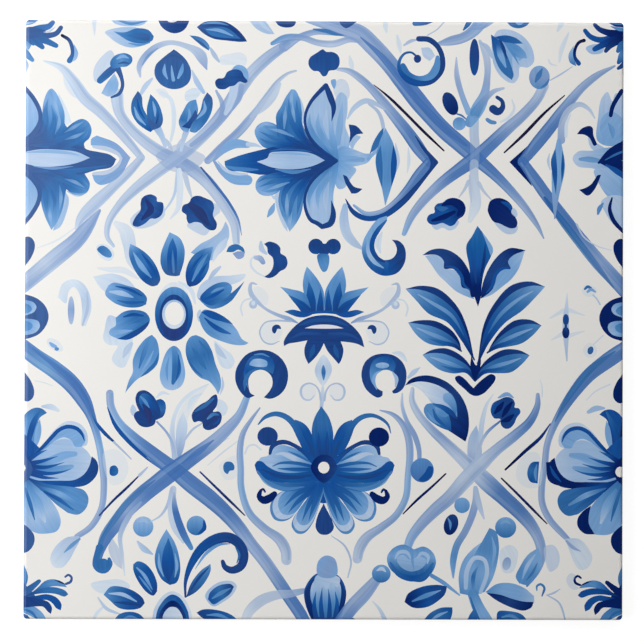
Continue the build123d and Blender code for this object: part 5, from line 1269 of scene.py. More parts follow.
def paint_lower_clusters():
    """The lobed clusters of the lower openings."""
    blob((-48.6, -21.6), (-49.2, -23.4), (-48.4, -24.6), (-47.6, -23), tones=PALE)
    brush((-42.6, -19.8), (-41, -18.6), (-39.4, -19), width=(0.3, 0.9, 0.3), tones=MIST)
    blob((-43, -21), (-41.6, -20.2), (-40.4, -21), (-40.2, -23), (-41, -24.8), (-43, -25.2),
         tones=(COBALT, ROYAL, NAVY))
    blob((-48.3, -24.4), (-47.4, -23.3), (-45.6, -23.6), (-42.8, -25.4), (-43, -26.6), (-44.8, -27.4),
         (-46.8, -26.9), tones=(NAVY, NAVY))
    blob((-47.9, -20.2), (-47.2, -18.4), (-45.6, -18), (-43.6, -19.2), (-42, -21.8), (-41.5, -24),
         (-42.2, -25.4), (-44.6, -25.4), (-46.8, -23.4), tones=NAVY)
    blob((-47, -20.4), (-46.4, -19), (-45, -18.9), (-43.2, -20.6), (-42.3, -23.2), (-43.6, -24.4),
         (-46, -22.8), tones=(ROYAL, COBALT, NAVY))
    brush((-46.6, -19.6), (-45.6, -20.6), (-44.4, -22.4), width=(0.4, 0.8, 0.2), tones=AZURE)
    brush((-46, -21.6), (-44.6, -23.8), (-44.4, -26), width=(0.4, 1.8, 1), tones=(40, 56, 112))
    blob((-27.2, -20.2), (-25.4, -20.8), (-24.4, -22.4), (-25.4, -24.4), (-26.8, -24), tones=MIST)
    blob((-33.6, -24.4), (-33, -23), (-31.4, -21.6), (-29.6, -20.6), (-28.4, -19.4), (-27.4, -19),
         (-27, -20.4), (-27.3, -22), (-28.2, -23.4), (-26.8, -23.3), (-26, -24.2), (-26.3, -26.2),
         (-27.6, -27.5), (-29.6, -28.1), (-30.7, -27.4), (-30.9, -26.2), (-31.8, -25.8), (-33, -26.1),
         tones=(NAVY, (40, 62, 120), NAVY))
    brush((-32.8, -23.4), (-30.4, -21.9), (-28, -20), width=(0.3, 1, 0.4), tones=ROYAL)
    brush((-29.6, -25.2), (-28, -24), (-26.8, -24.2), width=(0.4, 0.9, 0.4), tones=(AZURE, ROYAL))
    brush((-28, -26.6), (-27, -26), (-26.6, -25), width=(0.3, 0.6, 0.2), tones=COBALT)
    brush((44.4, -19.6), (46.6, -18.7), (48.2, -19.6), width=(0.4, 1.1, 0.3), tones=SOFT)
    blob((42.4, -22.6), (43, -21), (44.6, -20.1), (46.4, -19.4), (47.9, -19.8), (48.6, -21),
         (48.5, -22.1), (49.6, -22.3), (50, -23.3), (49.1, -24.6), (48.4, -26.2), (47.2, -27.4),
         (45.9, -27.4), (45, -26.4), (44.8, -25), (43.4, -24.9), (42.6, -23.8),
         tones=(COBALT, NAVY, COBALT))
    for points in (((43.4, -23.6), (44.8, -22), (45.6, -20.8)),
                   ((45.4, -24.4), (46.6, -22.4), (47.8, -20.8)),
                   ((45.2, -25.6), (46.6, -25.2), (48.2, -24))):
        brush(*points, width=(0.5, 1.4, 0.5), tones=MIDNIGHT)


def paint_bottom_flower():
    """The flower at the bottom centre, seen from the front."""
    blob((-6, -41.5), (-3, -45), (0, -46.6), (3, -45), (6, -41.5), (5.4, -36.4), (0, -33), (-5, -36.4),
         tones=COBALT)
    for s, x in ((-1, -0.4), (1, 0.2)):
        def at(*points):
            return [(x + s * a, b) for a, b in points]

        # the two big petals below: a blue edge, a pale rim and a blue middle with streaks
        for petal in (
            ((0.5, -41), (6, -42.6), (10.6, -43.8), (12.8, -46), (13.2, -48.4), (12.2, -50.6),
             (10.4, -51.2), (8, -50.4), (4.6, -46), (1, -42.4)),
            ((0.4, -40.6), (4.4, -46.2), (7.2, -50.2), (7.7, -52.4), (6.4, -54.2), (4.6, -54.2),
             (2.6, -52), (0.8, -47.4), (-0.4, -43)),
        ):
            foot = np.array(petal[0])
            for share, tones in ((1, (COBALT, ROYAL, AZURE)), (0.95, (ROYAL, LIGHT, PALE)),
                                 (0.84, (COBALT, ROYAL, AZURE, SOFT))):
                blob(*at(*(foot + share * (np.array(petal) - foot))), tones=tones)
        for streak in (((2, -42), (6.4, -44.2), (9.6, -47.4)), ((2, -43), (6, -46), (8.6, -49)),
                       ((1, -42.6), (3.4, -47), (5, -51)), ((0.4, -42), (2, -46.8), (3.4, -51))):
            brush(*at(*streak), width=(1.6, 1.2, 0.1), tones=(COBALT, ROYAL))
        # the hook beside them
        brush(*at((15.6, -43.4), (16, -44.8), (14.9, -45.8), (13.3, -45.3), (12.1, -44.2)),
              width=(0.8, 1.4, 2, 2, 1.4), tones=MIDNIGHT)
        brush(*at((15.6, -43.4), (15, -43), (14.5, -43.7)), width=(0.6, 0.6, 0.5), tones=MIDNIGHT)
        # the upper petal with its horn
        leaf(at((7, -25.3), (5, -26.1), (3.4, -27.7), (2, -31), (0.6, -36)),
             at((4.4, -33.6), (6, -30.6)), tones=(ROYAL, COBALT, COBALT, NAVY))
        brush(*at((4, -30.4), (2.8, -32.6), (1.6, -35.4)), width=(0.3, 1.3, 0.9), tones=(28, 76, 142))
    # the side petals
    for s, x in ((-1, 0), (1, 0.4)):
        def at(*points):
            return [(x + s * a, b) for a, b in points]

        leaf(at((2, -37), (5, -34.2), (8, -32.4), (11, -31.8), (13, -32.8), (14.2, -34.5), (16, -35),
                (17, -36.4)), at((14, -38.6), (8, -39.4), (4, -39)),
             tones=(ROYAL, AZURE, SOFT, LIGHT, LIGHT))
        brush(*at((3, -36.8), (7, -35.4), (10.6, -34), (12.2, -34.2)), width=(0.6, 1.2, 1.3, 0.3),
              tones=(AZURE, PALE, PALE))
        brush(*at((3, -37.2), (7, -36.4), (11, -36.4), (13, -37.2)), width=(0.8, 0.9, 0.7, 0.2),
              tones=(COBALT, ROYAL, ROYAL))
        brush(*at((3, -38), (7, -38), (11.6, -37.8)), width=(0.9, 1, 0.2), tones=(COBALT, ROYAL))
        brush(*at((4, -35.8), (6.6, -34.4), (9, -33.4)), width=(0.5, 0.6, 0.1), tones=ROYAL)
        leaf(at((17.6, -36.9), (16.9, -35.9), (15.7, -36), (14.3, -37.2), (12, -38.4), (8.6, -38.9),
                (3, -38.4)), at((3, -41), (8, -41.4), (13, -41), (16.6, -39.4)),
             tones=(COBALT, COBALT, (24, 92, 160), COBALT))
        leaf(at((16.4, -39.8), (13, -41), (8, -41.4), (2, -40.6)),
             at((5, -42.6), (9.4, -43.6), (13, -42.6)), tones=(ROYAL, ROYAL, COBALT))
        brush(*at((16.9, -38.4), (14.6, -41.2), (10, -42.9), (5, -42.4)), width=(0.4, 1.2, 1, 0.2),
              tones=AZURE, opacity=0.7)
        brush(*at((15.6, -38), (12, -39.6), (7, -40), (3, -39.4)), width=(0.3, 1, 1, 0.4), tones=NAVY,
              opacity=0.8)
        brush(*at((13.7, -34), (13.2, -32.3), (11.8, -31.3), (9.6, -31.1), (7.4, -32), (5, -33.6),
                  (2.6, -36)), width=(0.7, 1.2, 1.2, 1, 1.1, 1.2, 1.4), tones=(NAVY, NAVY, COBALT))
    brush((-16.7, -26.6), (-15, -24.8), (-12.4, -23.9), (-9.8, -24.6), (-7.6, -26.6), (-6, -29.8),
          (-4.6, -33), width=(0.3, 1, 1.3, 1.5, 1.7, 1.6, 1), tones=(ROYAL, ROYAL, COBALT))
    brush((17, -28.7), (16.3, -26.6), (14.5, -25), (12, -24.2), (9.4, -24.8), (7.2, -26.8), (6, -29.8),
          (4.8, -33), width=(0.2, 0.7, 0.9, 1.2, 1.4, 1.7, 1.6, 1), tones=(ROYAL, ROYAL, COBALT))
    leaf(((-0.7, -21.9), (-2.2, -24.4), (-3, -27), (-3, -30), (-1.6, -36)),
         ((1.4, -36), (2.4, -30), (2.2, -27.6), (1.2, -24.6)), tones=(ROYAL, ROYAL, COBALT, NAVY))
    for points in (((-1.4, -28.6), (-1.2, -31.4), (-0.8, -34.6)),
                   ((0.8, -28.2), (0.8, -31.2), (0.6, -34.6))):
        brush(*points, width=(0.1, 1.1, 0.9), tones=(COBALT, NAVY))
    leaf(((0, -46.6), (-1.6, -50), (-2, -52.8), (-0.8, -54.4), (1.3, -54.4), (2.6, -52.9), (2.1, -50.6)),
         ((1, -48.6),), tones=(NAVY, NAVY))
    oval((-14.3, -29.6), 2.6, 2.4, tones=NAVY)
    oval((14, -29.7), 2.6, 2.45, tones=MIDNIGHT)
    blob((-3.3, -37.4), (-2, -35), (0, -34.2), (2.2, -35), (3.4, -37.4), (2, -40), (0, -41.4), (-2, -40),
         tones=(MIDNIGHT, NAVY))
    oval((0, -37.5), 1.45, 1.5, tones=WHITE, grain=0.0)


def paint_lower_edge_flowers():
    """The flowers that the left and the right edge cut, lower down."""
    for s, dark, deep in ((-1, DENIM, NAVY), (1, NAVY, MIDNIGHT)):
        def at(*points):
            return [(s * (a - 0.1) + (0 if s < 0 else -0.2), b) for a, b in points]

        # the top leaf
        brush(*at((67.6, -23.2), (69.4, -22.3), (71.6, -22.2)), width=(0.9, 1.5, 0.6),
              tones=(MIST, PALE) if s < 0 else (LIGHT, LIGHT))
        leaf(at((70.4, -23.8), (71.6, -22.8), (73.2, -22.5), (75.2, -23.4), (77.4, -26)),
             at((77.4, -35.6), (74.8, -35), (73.2, -31.6), (72.8, -28), (72.3, -25.2)),
             tones=(ROYAL, AZURE, AZURE, ROYAL) if s < 0 else (COBALT, COBALT, NAVY, MIDNIGHT))
        leaf(at((72.2, -25.4), (71.8, -28), (72.2, -30.6), (73.8, -33.8)), at((73.6, -30), (73, -27)),
             tones=(SOFT, SOFT))
        brush(*at((72.2, -23.2), (73.4, -25.4), (74.6, -29), (75.4, -33.6)), width=(0.4, 1.5, 1.4, 1),
              tones=(ROYAL, COBALT, dark))
        brush(*at((76.6, -25), (76.2, -29), (76.6, -33)), width=(0.6, 0.9, 0.6),
              tones=SOFT if s < 0 else MIDNIGHT)
        # the petals' feet, then the pale petals and their streaks
        blob(*at((77.4, -29), (73, -32), (70.6, -35), (69.6, -38), (70.6, -42), (73, -45), (77.4, -48)),
             tones=COBALT)
        blob(*at((60.4, -32), (60.2, -29), (62, -26.6), (65.2, -25.9), (68, -27.6), (70, -30.4),
                 (65, -32)), tones=(PALE, MIST))
        leaf(at((75.6, -36.4), (70.5, -32.2), (66, -30.4), (62, -32), (59.4, -34.6), (59, -37.8),
                (61.4, -41)), at((68, -41.6), (75.6, -39.6)), tones=(SOFT, LIGHT, LIGHT, PALE))
        brush(*at((75, -37), (70, -36.2), (66, -34.6), (63.2, -34.2)), width=(1.2, 2, 2.2, 1.2),
              tones=(ROYAL, SOFT, SOFT))
        brush(*at((75, -38.4), (70, -38.4), (64, -37.4)), width=(1.6, 2, 1), tones=(ROYAL, AZURE, SOFT))
        leaf(at((75.4, -35.6), (72, -32.4), (69.5, -29.6), (67.5, -27.8), (65, -26.9), (62.6, -27.4),
                (61.1, -28.9), (60.6, -30.8), (61.6, -32.4)),
             at((63.2, -32.4), (64.2, -30.8), (66, -30), (68.4, -31), (71, -33)),
             tones=(COBALT, AZURE, SOFT, SOFT, SOFT))
        brush(*at((75.4, -36), (71.6, -32.6), (69, -29.8), (67.4, -28.2), (65.2, -27.3), (62.8, -27.8),
                  (61.5, -29.2), (60.9, -30.8)), width=(1.4, 0.6, 0.9, 1, 1, 1, 0.9, 0.2),
              tones=(deep, COBALT, COBALT, COBALT))
        for streak in (((75.4, -36.8), (71.4, -36), (67.6, -34.8)),
                       ((75.4, -37.4), (70.6, -37.6), (66, -36.4)),
                       ((75.2, -38.4), (70.4, -39.2), (66.6, -38.8), (64.2, -38)),
                       ((75.4, -36), (73, -34.4), (70.4, -33.2)),
                       ((75, -39), (71, -40.2), (67.4, -40.4))):
            brush(*at(*streak), width=(1.3, 0.9, 0.1), tones=(deep, COBALT, ROYAL))
        # the dark crescent below them
        leaf(at((59, -34.8), (57.8, -35.9), (57.3, -37.8), (58, -40), (60.2, -42), (63.5, -42.7),
                (68, -42.4), (73.6, -41)), at((68, -41), (63.4, -40.8), (61, -39.4), (59.6, -37.2)),
             tones=(deep, COBALT if s < 0 else MIDNIGHT, COBALT))
        # the lower petals
        leaf(at((75.6, -40), (72.4, -43), (69.6, -45.6), (67.4, -49), (66.8, -51.8), (67.8, -53.8),
                (70, -54.4), (73, -54.3), (75.4, -52.8), (77.4, -49.6)), at((77.4, -43),),
             tones=(ROYAL, SOFT, LIGHT, SOFT) if s < 0 else (ROYAL, AZURE, SOFT, SOFT))
        brush(*at((74.6, -43), (72.4, -47), (70.8, -51.4)), width=(0.8, 2.2, 0.6),
              tones=(AZURE, SOFT, PALE))
        brush(*at((75.8, -43), (74.4, -47.4), (73.4, -51)), width=(0.6, 1, 0.2), tones=ROYAL)
        leaf(at((75.6, -40.2), (70, -41.9), (64, -42.6), (61, -43.4), (59.8, -45.4), (60.4, -48),
                (62.4, -49.6), (65, -49.2)), at((68, -47), (70.8, -44.4)),
             tones=(deep, ROYAL, AZURE, AZURE) if s < 0 else (deep, COBALT, ROYAL, ROYAL))
        brush(*at((72, -42.6), (67, -44.4), (62.8, -46.8)), width=(0.4, 1.4, 0.6),
              tones=(ROYAL, SOFT, AZURE))
        brush(*at((71, -43.8), (67, -46), (63.6, -48.4)), width=(0.4, 1, 0.3), tones=(COBALT, ROYAL))
        leaf(at((77.4, -51.4), (75.4, -52.6), (73.6, -54.7), (73.5, -56.8), (74.8, -58.8),
                (77.4, -59.8)), at((77.4, -55),), tones=dark if s < 0 else MIDNIGHT)
        # the heart at the edge, with a speck of light
        leaf(at((77.4, -33.6), (75.4, -35.4), (74, -38), (75, -40.6), (77.4, -42.4)), at((77.4, -38),),
             tones=dark if s < 0 else MIDNIGHT)
    oval((-77, -37.8), 1.3, 1.3, tones=WHITE, grain=0.0)
    oval((75.5, -38.4), 1.3, 1.35, tones=WHITE, grain=0.0)
    leaf(((68, -47), (66, -48.4), (64.6, -50.4), (64.7, -52.4), (66.4, -54.1), (69, -54.3)),
         ((67.5, -51.6), (67.5, -49.4)), tones=MIDNIGHT)
    leaf(((56.5, -36), (57.8, -36), (59, -37.6), (60.4, -40), (63, -42)), ((60, -42), (57.2, -40.6)),
         tones=MIDNIGHT)
    brush((57.6, -37), (58.6, -39), (60.4, -41), width=(0.3, 0.9, 0.2), tones=COBALT)


def paint_bottom_row():
    """The motifs along the bottom edge, from the left to the right."""
    # the drops at the ends of the outer strands, then the leaf sprays of both corners
    leaf(((-62, -55), (-65.4, -55.5), (-68.4, -58.3), (-69.3, -61), (-68.2, -63), (-66.2, -63),
          (-64.5, -61.2), (-63, -58.4)), ((-62, -56.4),), tones=(HAZE, PALE, MIST))
    brush((-61.9, -55.8), (-63.6, -57.2), (-65.8, -59.2), width=(0.6, 1, 0.2), tones=AZURE, opacity=0.8)
    leaf(((61.4, -55.4), (65, -55.5), (67.5, -58), (68.4, -60.5), (67, -63), (65, -63.2), (63.5, -61)),
         ((62.4, -58),), tones=(PALE, MIST, MIST))
    brush((61.8, -56), (63.4, -57.6), (65.4, -58.6), width=(0.6, 0.9, 0.2), tones=LAVENDER, opacity=0.8)
    for s, dark, deep, top in ((-1, NAVY, DENIM, ROYAL), (1, MIDNIGHT, MIDNIGHT, COBALT)):
        brush(*mirrored(s, (76.6, -62), (75.8, -65.4), (77, -69.6)), width=(0.8, 1.8, 1.4),
              tones=(AZURE, ROYAL))
        blob(*mirrored(s, (77.4, -66), (75, -68), (73, -70.6), (74, -73), (77.4, -73.6)), tones=deep)
        brush(*mirrored(s, (77.4, -73), (74.4, -73.8), (72, -75.4), (71, -77)), width=(2, 2.6, 2.4, 2),
              tones=(AZURE, SOFT) if s < 0 else (ROYAL, AZURE))
        brush(*mirrored(s, (77, -73.4), (74, -74.4), (72.4, -76.4)), width=(0.4, 0.7, 0.4), tones=ROYAL)
        brush(*mirrored(s, (77.4, -75.4), (75.4, -75.8), (74.6, -77)), width=(1.6, 1.6, 1),
              tones=(deep, ROYAL))
        brush(*mirrored(s, (77, -70), (74.4, -68.4), (72.1, -66.5)), width=(2, 1.7, 1),
              tones=(deep, ROYAL) if s < 0 else (MIDNIGHT, MIDNIGHT))
        leaf(mirrored(s, (65, -68), (66.2, -66.8), (68.5, -66), (70.5, -66.4), (73, -68.6), (76, -70.6)),
             mirrored(s, (72, -69), (68.6, -67.8)), tones=(AZURE, AZURE, top, deep))
        leaf(mirrored(s, (64.7, -69.8), (65.6, -68.8), (68.4, -68), (71.5, -68.4), (76, -70.4)),
             mirrored(s, (71.4, -69.6), (68, -69.7), (65.6, -70.4)), tones=(top, top, dark))
        leaf(mirrored(s, (66.6, -73.9), (66.4, -72.4), (67.6, -70.7), (70, -69.8), (73, -70.2),
                      (77, -71)), mirrored(s, (73, -71.4), (70, -71.3), (68.6, -72.2), (67.8, -73.3)),
             tones=(COBALT, COBALT, dark))
        leaf(mirrored(s, (69.1, -74.8), (68.8, -73.4), (69.6, -71.9), (71.6, -71.1), (77.4, -70)),
             mirrored(s, (77.4, -73), (73, -72.9), (71, -73), (70, -74.1)), tones=(dark, dark))
        brush(*mirrored(s, (65.3, -67.2), (64.1, -66.6), (63.9, -65.5), (64.7, -64.9), (65.5, -65.4)),
              width=(0.6, 0.7, 0.6, 0.6, 0.5), tones=deep)
        leaf(mirrored(s, (65.2, -67.4), (66.8, -66.4), (68.6, -66)), mirrored(s, (66.6, -67),),
             tones=(INK, COBALT))
    # a pale wash round the curl of the right spray
    blob((61.8, -65.6), (62.8, -64.2), (64, -64.6), (63.6, -66.6), (65, -68), (63.6, -68.4),
         (62.2, -67.2), tones=PALE, opacity=0.5)
    # the left of the lower left opening
    leaf(((-53.6, -55.5), (-51.5, -59), (-51, -63.5)), ((-53, -62), (-54.6, -58)), tones=HAZE,
         opacity=0.7)
    brush((-56.8, -58), (-57.6, -60.6), (-57.4, -62.6), (-55.6, -63.4), (-54.2, -62), (-54.4, -60.8),
          width=(2, 1.6, 2, 2.4, 1.8, 0.8), tones=ROYAL)
    oval((-56, -62.2), 1.9, 1.5, tones=ROYAL)
    blob((-59, -67.2), (-55.4, -66.2), (-51, -66.2), (-49, -67.8), (-53, -69.4), (-57, -69.4), tones=MIST)
    brush((-58.6, -77), (-57.4, -74.6), (-55.6, -72.8), width=(0.4, 0.9, 0.4), tones=MIST)
    brush((-57.2, -70.6), (-55, -73.4), (-51.6, -74.8), width=(0.3, 0.9, 0.4), tones=PALE)
    leaf(((-55.8, -69.9), (-54, -67.9), (-51.6, -67.8), (-48, -69), (-45.8, -70.8), (-45.3, -72)),
         ((-46.4, -73.2), (-49, -73.7), (-52, -73.2), (-54, -71.5)), tones=(AZURE, ROYAL, COBALT, NAVY))
    brush((-54.4, -69.6), (-51, -69.8), (-47.4, -71.6), width=(0.3, 1, 0.3), tones=(LIGHT, LIGHT, SOFT))
    brush((-53, -71.8), (-50, -72), (-46.6, -72.4), width=(0.2, 0.8, 0.3), tones=NAVY)
    leaf(((-53.4, -77), (-52, -75), (-49.5, -74.2), (-46.8, -74.7), (-44.6, -77)), (),
         tones=(ROYAL, COBALT))
    brush((-51.4, -76.4), (-49, -75.4), (-46.6, -76.2), width=(0.2, 0.6, 0.2), tones=AZURE)
    leaf(((-48.3, -62.2), (-47.2, -61.4), (-45.4, -61.9), (-43.4, -64), (-42.2, -67), (-42.2, -69)),
         ((-43.1, -70.1), (-44.8, -69.3), (-47, -66.5), (-48.2, -63.8)),
         tones=(ROYAL, COBALT, COBALT, NAVY))
    brush((-47.4, -63), (-45.6, -64.8), (-43.4, -68.6), width=(0.3, 0.9, 0.2), tones=(SOFT, SOFT, AZURE))
    brush((-46.8, -65.2), (-45, -67.4), (-43.6, -69.2), width=(0.2, 0.6, 0.2), tones=AZURE)
    oval((-45.8, -52.6), 2.6, 2.6, tones=(LIGHT, SOFT, AZURE))
    brush((-47, -51.4), (-45.6, -51), (-44.4, -51.8), width=(0.2, 0.8, 0.2), tones=LIGHT)
    brush((-47.2, -56.4), (-45.6, -58.2), (-43.4, -59.6), width=(0.5, 1.6, 0.4), tones=(PALE, LIGHT))
    leaf(((-39.9, -53.2), (-41.7, -56.4), (-42.8, -60), (-42.5, -63), (-41, -66), (-39, -67.4)),
         ((-37.3, -66.8), (-36.4, -64.4), (-36.5, -61), (-37.6, -57)), tones=(SOFT, AZURE, ROYAL, COBALT))
    leaf(((-39.4, -55.4), (-40.8, -59.4), (-40.8, -63.6), (-39.2, -66.8)), ((-38, -63.4), (-38.2, -59)),
         tones=(ROYAL, COBALT, NAVY))
    brush((-41.8, -59.4), (-41.6, -62.6), (-40.6, -65.2), width=(0.2, 0.8, 0.2), tones=SOFT)
    brush((-37.7, -59.4), (-37.2, -62.6), (-37.7, -65.4), width=(0.2, 0.8, 0.2), tones=SOFT)
    oval((-32.3, -52.3), 2.5, 2.5, tones=(SOFT, AZURE, ROYAL))
    brush((-30.4, -51), (-30.3, -53), (-31.8, -54.4), width=(0.3, 1.1, 0.3), tones=COBALT)
    brush((-38.6, -43), (-39.6, -47), (-41.4, -49.8), (-43.8, -51.3), width=(0.9, 0.8, 0.6, 0.3),
          tones=(HAZE, HAZE, PALE))
    brush((-38.2, -43), (-38.6, -48), (-37.6, -53), (-35.6, -56.6), width=(1.6, 2, 2, 0.6),
          tones=(HAZE, PALE, PALE), opacity=0.8)
    brush((-38, -44), (-37.8, -47.6), (-36.8, -51.4), (-35.4, -54.8), (-33.6, -58),
          width=(0.6, 1.5, 1.8, 1.8, 1.2), tones=(HAZE, SLATE, SLATE, AZURE))
    # the arch at the bottom edge
    leaf(((-43.6, -77), (-42.8, -73.2), (-40.6, -70), (-38.4, -69), (-36, -70), (-33.6, -74),
          (-33.2, -77)), (), tones=(PALE, MIST))
    leaf(((-42.7, -77), (-42, -73.6), (-40, -70.7), (-38.4, -69.8), (-36.5, -70.6), (-34.4, -74),
          (-33.9, -77)), (), tones=(COBALT, ROYAL, COBALT))
    leaf(((-42, -77), (-41.4, -74.2), (-39.6, -71.9), (-38.3, -71.3), (-36.8, -72), (-35.1, -74.6),
          (-34.6, -77)), (), tones=(NAVY, MIDNIGHT, NAVY))
    leaf(((-41, -77), (-40.4, -74.5), (-38.9, -73), (-37.2, -73.2), (-35.9, -75), (-35.4, -77)), (),
         tones=(PALE, MIST))
    # the big curl and its leaves
    leaf(((-34.9, -70.6), (-33.6, -67), (-31.2, -63.8), (-28.7, -62)),
         ((-28.6, -63.6), (-30, -66.6), (-32.4, -69.2)), tones=(NAVY, ROYAL, AZURE))
    brush((-33.6, -68.6), (-31.6, -65.6), (-29.2, -63), width=(0.2, 0.7, 0.2), tones=NAVY)
    brush((-35, -70.4), (-35, -66.6), (-33.6, -62.2), (-30.8, -58), (-27.2, -55.7), (-23.8, -55.4),
          (-21.2, -57.2), (-20.2, -60), (-21, -62.6), (-23.2, -63.6), (-25, -62.8), (-25.6, -61.4),
          width=(0.5, 0.8, 1.4, 2, 2.4, 2.6, 2.7, 2.5, 2.4, 2.2, 1.8, 1),
          tones=(NAVY, COBALT, COBALT, NAVY, NAVY, NAVY))
    brush((-32.6, -63.4), (-29.8, -59.4), (-26.6, -57.2), (-23.8, -56.9), width=(0.1, 0.7, 0.8, 0.2),
          tones=(SOFT, AZURE))
    brush((-22.4, -57.6), (-21.4, -59.8), (-22, -61.8), width=(0.2, 0.7, 0.2), tones=ROYAL)
    blob((-30, -70.4), (-29.4, -68.8), (-26.6, -66.7), (-23.2, -66.4), (-22, -67.6), (-23, -69.8),
         (-25.6, -71.8), (-28, -72.8), tones=(LIGHT, PALE))
    leaf(((-29.3, -71), (-28.8, -69.3), (-26.5, -67.5), (-23.6, -67.1), (-22.7, -67.8)),
         ((-23.6, -69.5), (-26, -71.3), (-27.9, -72.3)), tones=(COBALT, ROYAL, NAVY))
    brush((-28.2, -70.8), (-26, -69.4), (-23.6, -68.2), width=(0.3, 1, 0.2), tones=AZURE)
    leaf(((-32.2, -74.4), (-30.6, -73.6), (-27, -73.7), (-23.2, -75), (-21.2, -77)),
         ((-28, -77), (-30.6, -75.8)), tones=(NAVY, COBALT, ROYAL))
    brush((-29.6, -75), (-26.6, -75), (-23.6, -76.2), width=(0.2, 0.9, 0.3), tones=AZURE)
    brush((-20.2, -77), (-18.6, -73.8), (-15.6, -71.2), (-12, -69.9), (-8.2, -69.5), (-5, -68.8),
          width=(2, 2.6, 2.8, 2.4, 2, 1.4), tones=(MIST, HAZE, HAZE, LAVENDER), opacity=0.85)
    leaf(((-13.6, -77.2), (-12.2, -76), (-10.2, -77.2)), (), tones=(COBALT, NAVY))
    # the bud at the bottom centre

    brush((2, -54.8), (5.4, -57.4), (7, -61.4), (6.2, -65.4), width=(0.2, 0.5, 0.5, 0.3), tones=HAZE)
    leaf(((0.8, -63.4), (-2.6, -65), (-4.8, -68.5), (-4.6, -72), (-2.6, -77.2)),
         ((3.4, -77.2), (5.2, -73), (5.8, -69), (4.3, -65.4)), tones=(COBALT, COBALT, NAVY))
    for points in (((-2.6, -66), (-4, -69.4), (-3.4, -73), (-1.6, -77)),
                   ((4, -66.4), (5, -69.6), (4.4, -73), (2.6, -77))):
        brush(*points, width=(0.6, 1.5, 1.4, 1), tones=(NAVY, MIDNIGHT))
    leaf(((0.6, -64.2), (-2.6, -66.6), (-3.3, -70), (-1.6, -75.4)),
         ((2.6, -75.4), (4.5, -70), (3.9, -66.4)), tones=(PALE, LIGHT, AZURE, ROYAL))
    for points in (((-1.8, -76), (-2.3, -72.4), (-1.9, -69)), ((-0.2, -76.6), (-0.6, -72), (-0.3, -68)),
                   ((1.5, -76.6), (1.6, -72), (1.3, -68.4)),
                   ((3, -76), (3.5, -72), (3, -69))):
        brush(*points, width=(1.3, 1, 0.1), tones=(NAVY, COBALT, ROYAL))
    blob((-2, -65.2), (0, -64.2), (2, -64.6), (4.2, -65.6), (3.6, -67.8), (2, -66.8), (0.8, -68.4),
         (-0.6, -66.8), (-2.2, -67.8), tones=(LIGHT, PALE))
    blob((-1.6, -62), (-0.6, -60.4), (1, -59.8), (2.8, -60.6), (3.5, -62.4), (3.4, -64.8), (1, -65.6),
         (-1.4, -64.8), tones=(SOFT, LAVENDER, SOFT))
    leaf(((5.6, -77.2), (7.4, -75.7), (9.4, -77.2)), (), tones=COBALT)
    band((13.4, -66), (10.4, -69.6), (7.2, -73), (4, -77.4), width=(2.6, 3.6, 3.6, 3.4),
         tones=(LAVENDER, LAVENDER, SLATE))
    brush((12.5, -71.4), (14.4, -73.6), (16, -77), width=(0.3, 0.9, 1.3), tones=(MIST, HAZE))
    oval((14.7, -64.4), 2.4, 2.3, tones=(SOFT, AZURE, ROYAL))
    brush((13.6, -63.6), (14.8, -63.1), (15.8, -63.9), width=(0.3, 1, 0.3), tones=PALE)
    # the heart, its tail and its leaves
    leaf(((23, -58.2), (20.5, -57), (18, -57.7), (16.2, -60), (16.7, -62.8), (19, -65), (21.4, -66.2)),
         ((25.2, -66.4), (27.4, -64.4), (28.6, -61.6), (27.8, -59), (25.5, -57.5)),
         tones=(AZURE, SOFT, ROYAL, COBALT), axis=((22, -57), (22, -66.4)))
    brush((17, -61.6), (19, -64.4), (22.6, -65.6), (26, -64.6), (27.8, -61.8),
          width=(0.4, 1.3, 1.6, 1.4, 0.5), tones=(ROYAL, COBALT, ROYAL))
    brush((18.2, -60.6), (19.2, -59), (21.2, -59), (22.2, -60.6), width=(0.3, 0.9, 0.9, 0.3), tones=LIGHT)
    brush((23.8, -60.4), (25, -59.2), (26.6, -60), (26.4, -61.8), width=(0.3, 0.9, 0.9, 0.3), tones=LIGHT)
    blob((18.6, -60.6), (20, -59.6), (22, -60.8), (24.4, -60), (26.2, -61), (25, -63), (22, -63.8),
         (19.6, -62.6), tones=LIGHT, opacity=0.7)
    brush((22.8, -58.6), (22.6, -61), (23, -63.4), width=(0.2, 0.7, 0.2), tones=AZURE, opacity=0.6)
    brush((27.4, -64.8), (30.4, -66.6), (34.6, -69.8), width=(1, 1, 0.4), tones=(AZURE, SOFT))
    leaf(((20.6, -71.6), (21.5, -69.5), (25, -67.7), (29, -67.2), (31.4, -67.6)),
         ((31, -69.4), (29.4, -71.1), (26.5, -72.8), (22.8, -73)), tones=(MIDNIGHT, COBALT, NAVY))
    brush((22.6, -71.4), (26, -70), (29.8, -68.6), width=(0.3, 1.2, 0.2), tones=(AZURE, AZURE, SOFT))
    leaf(((24.8, -77.2), (27, -74.5), (30, -73), (32.8, -72.9)), ((32.8, -74.4), (31.4, -77.2)),
         tones=(COBALT, ROYAL, COBALT))
    brush((27, -76.6), (29.2, -75), (31.6, -74), width=(0.2, 0.8, 0.2), tones=SOFT)
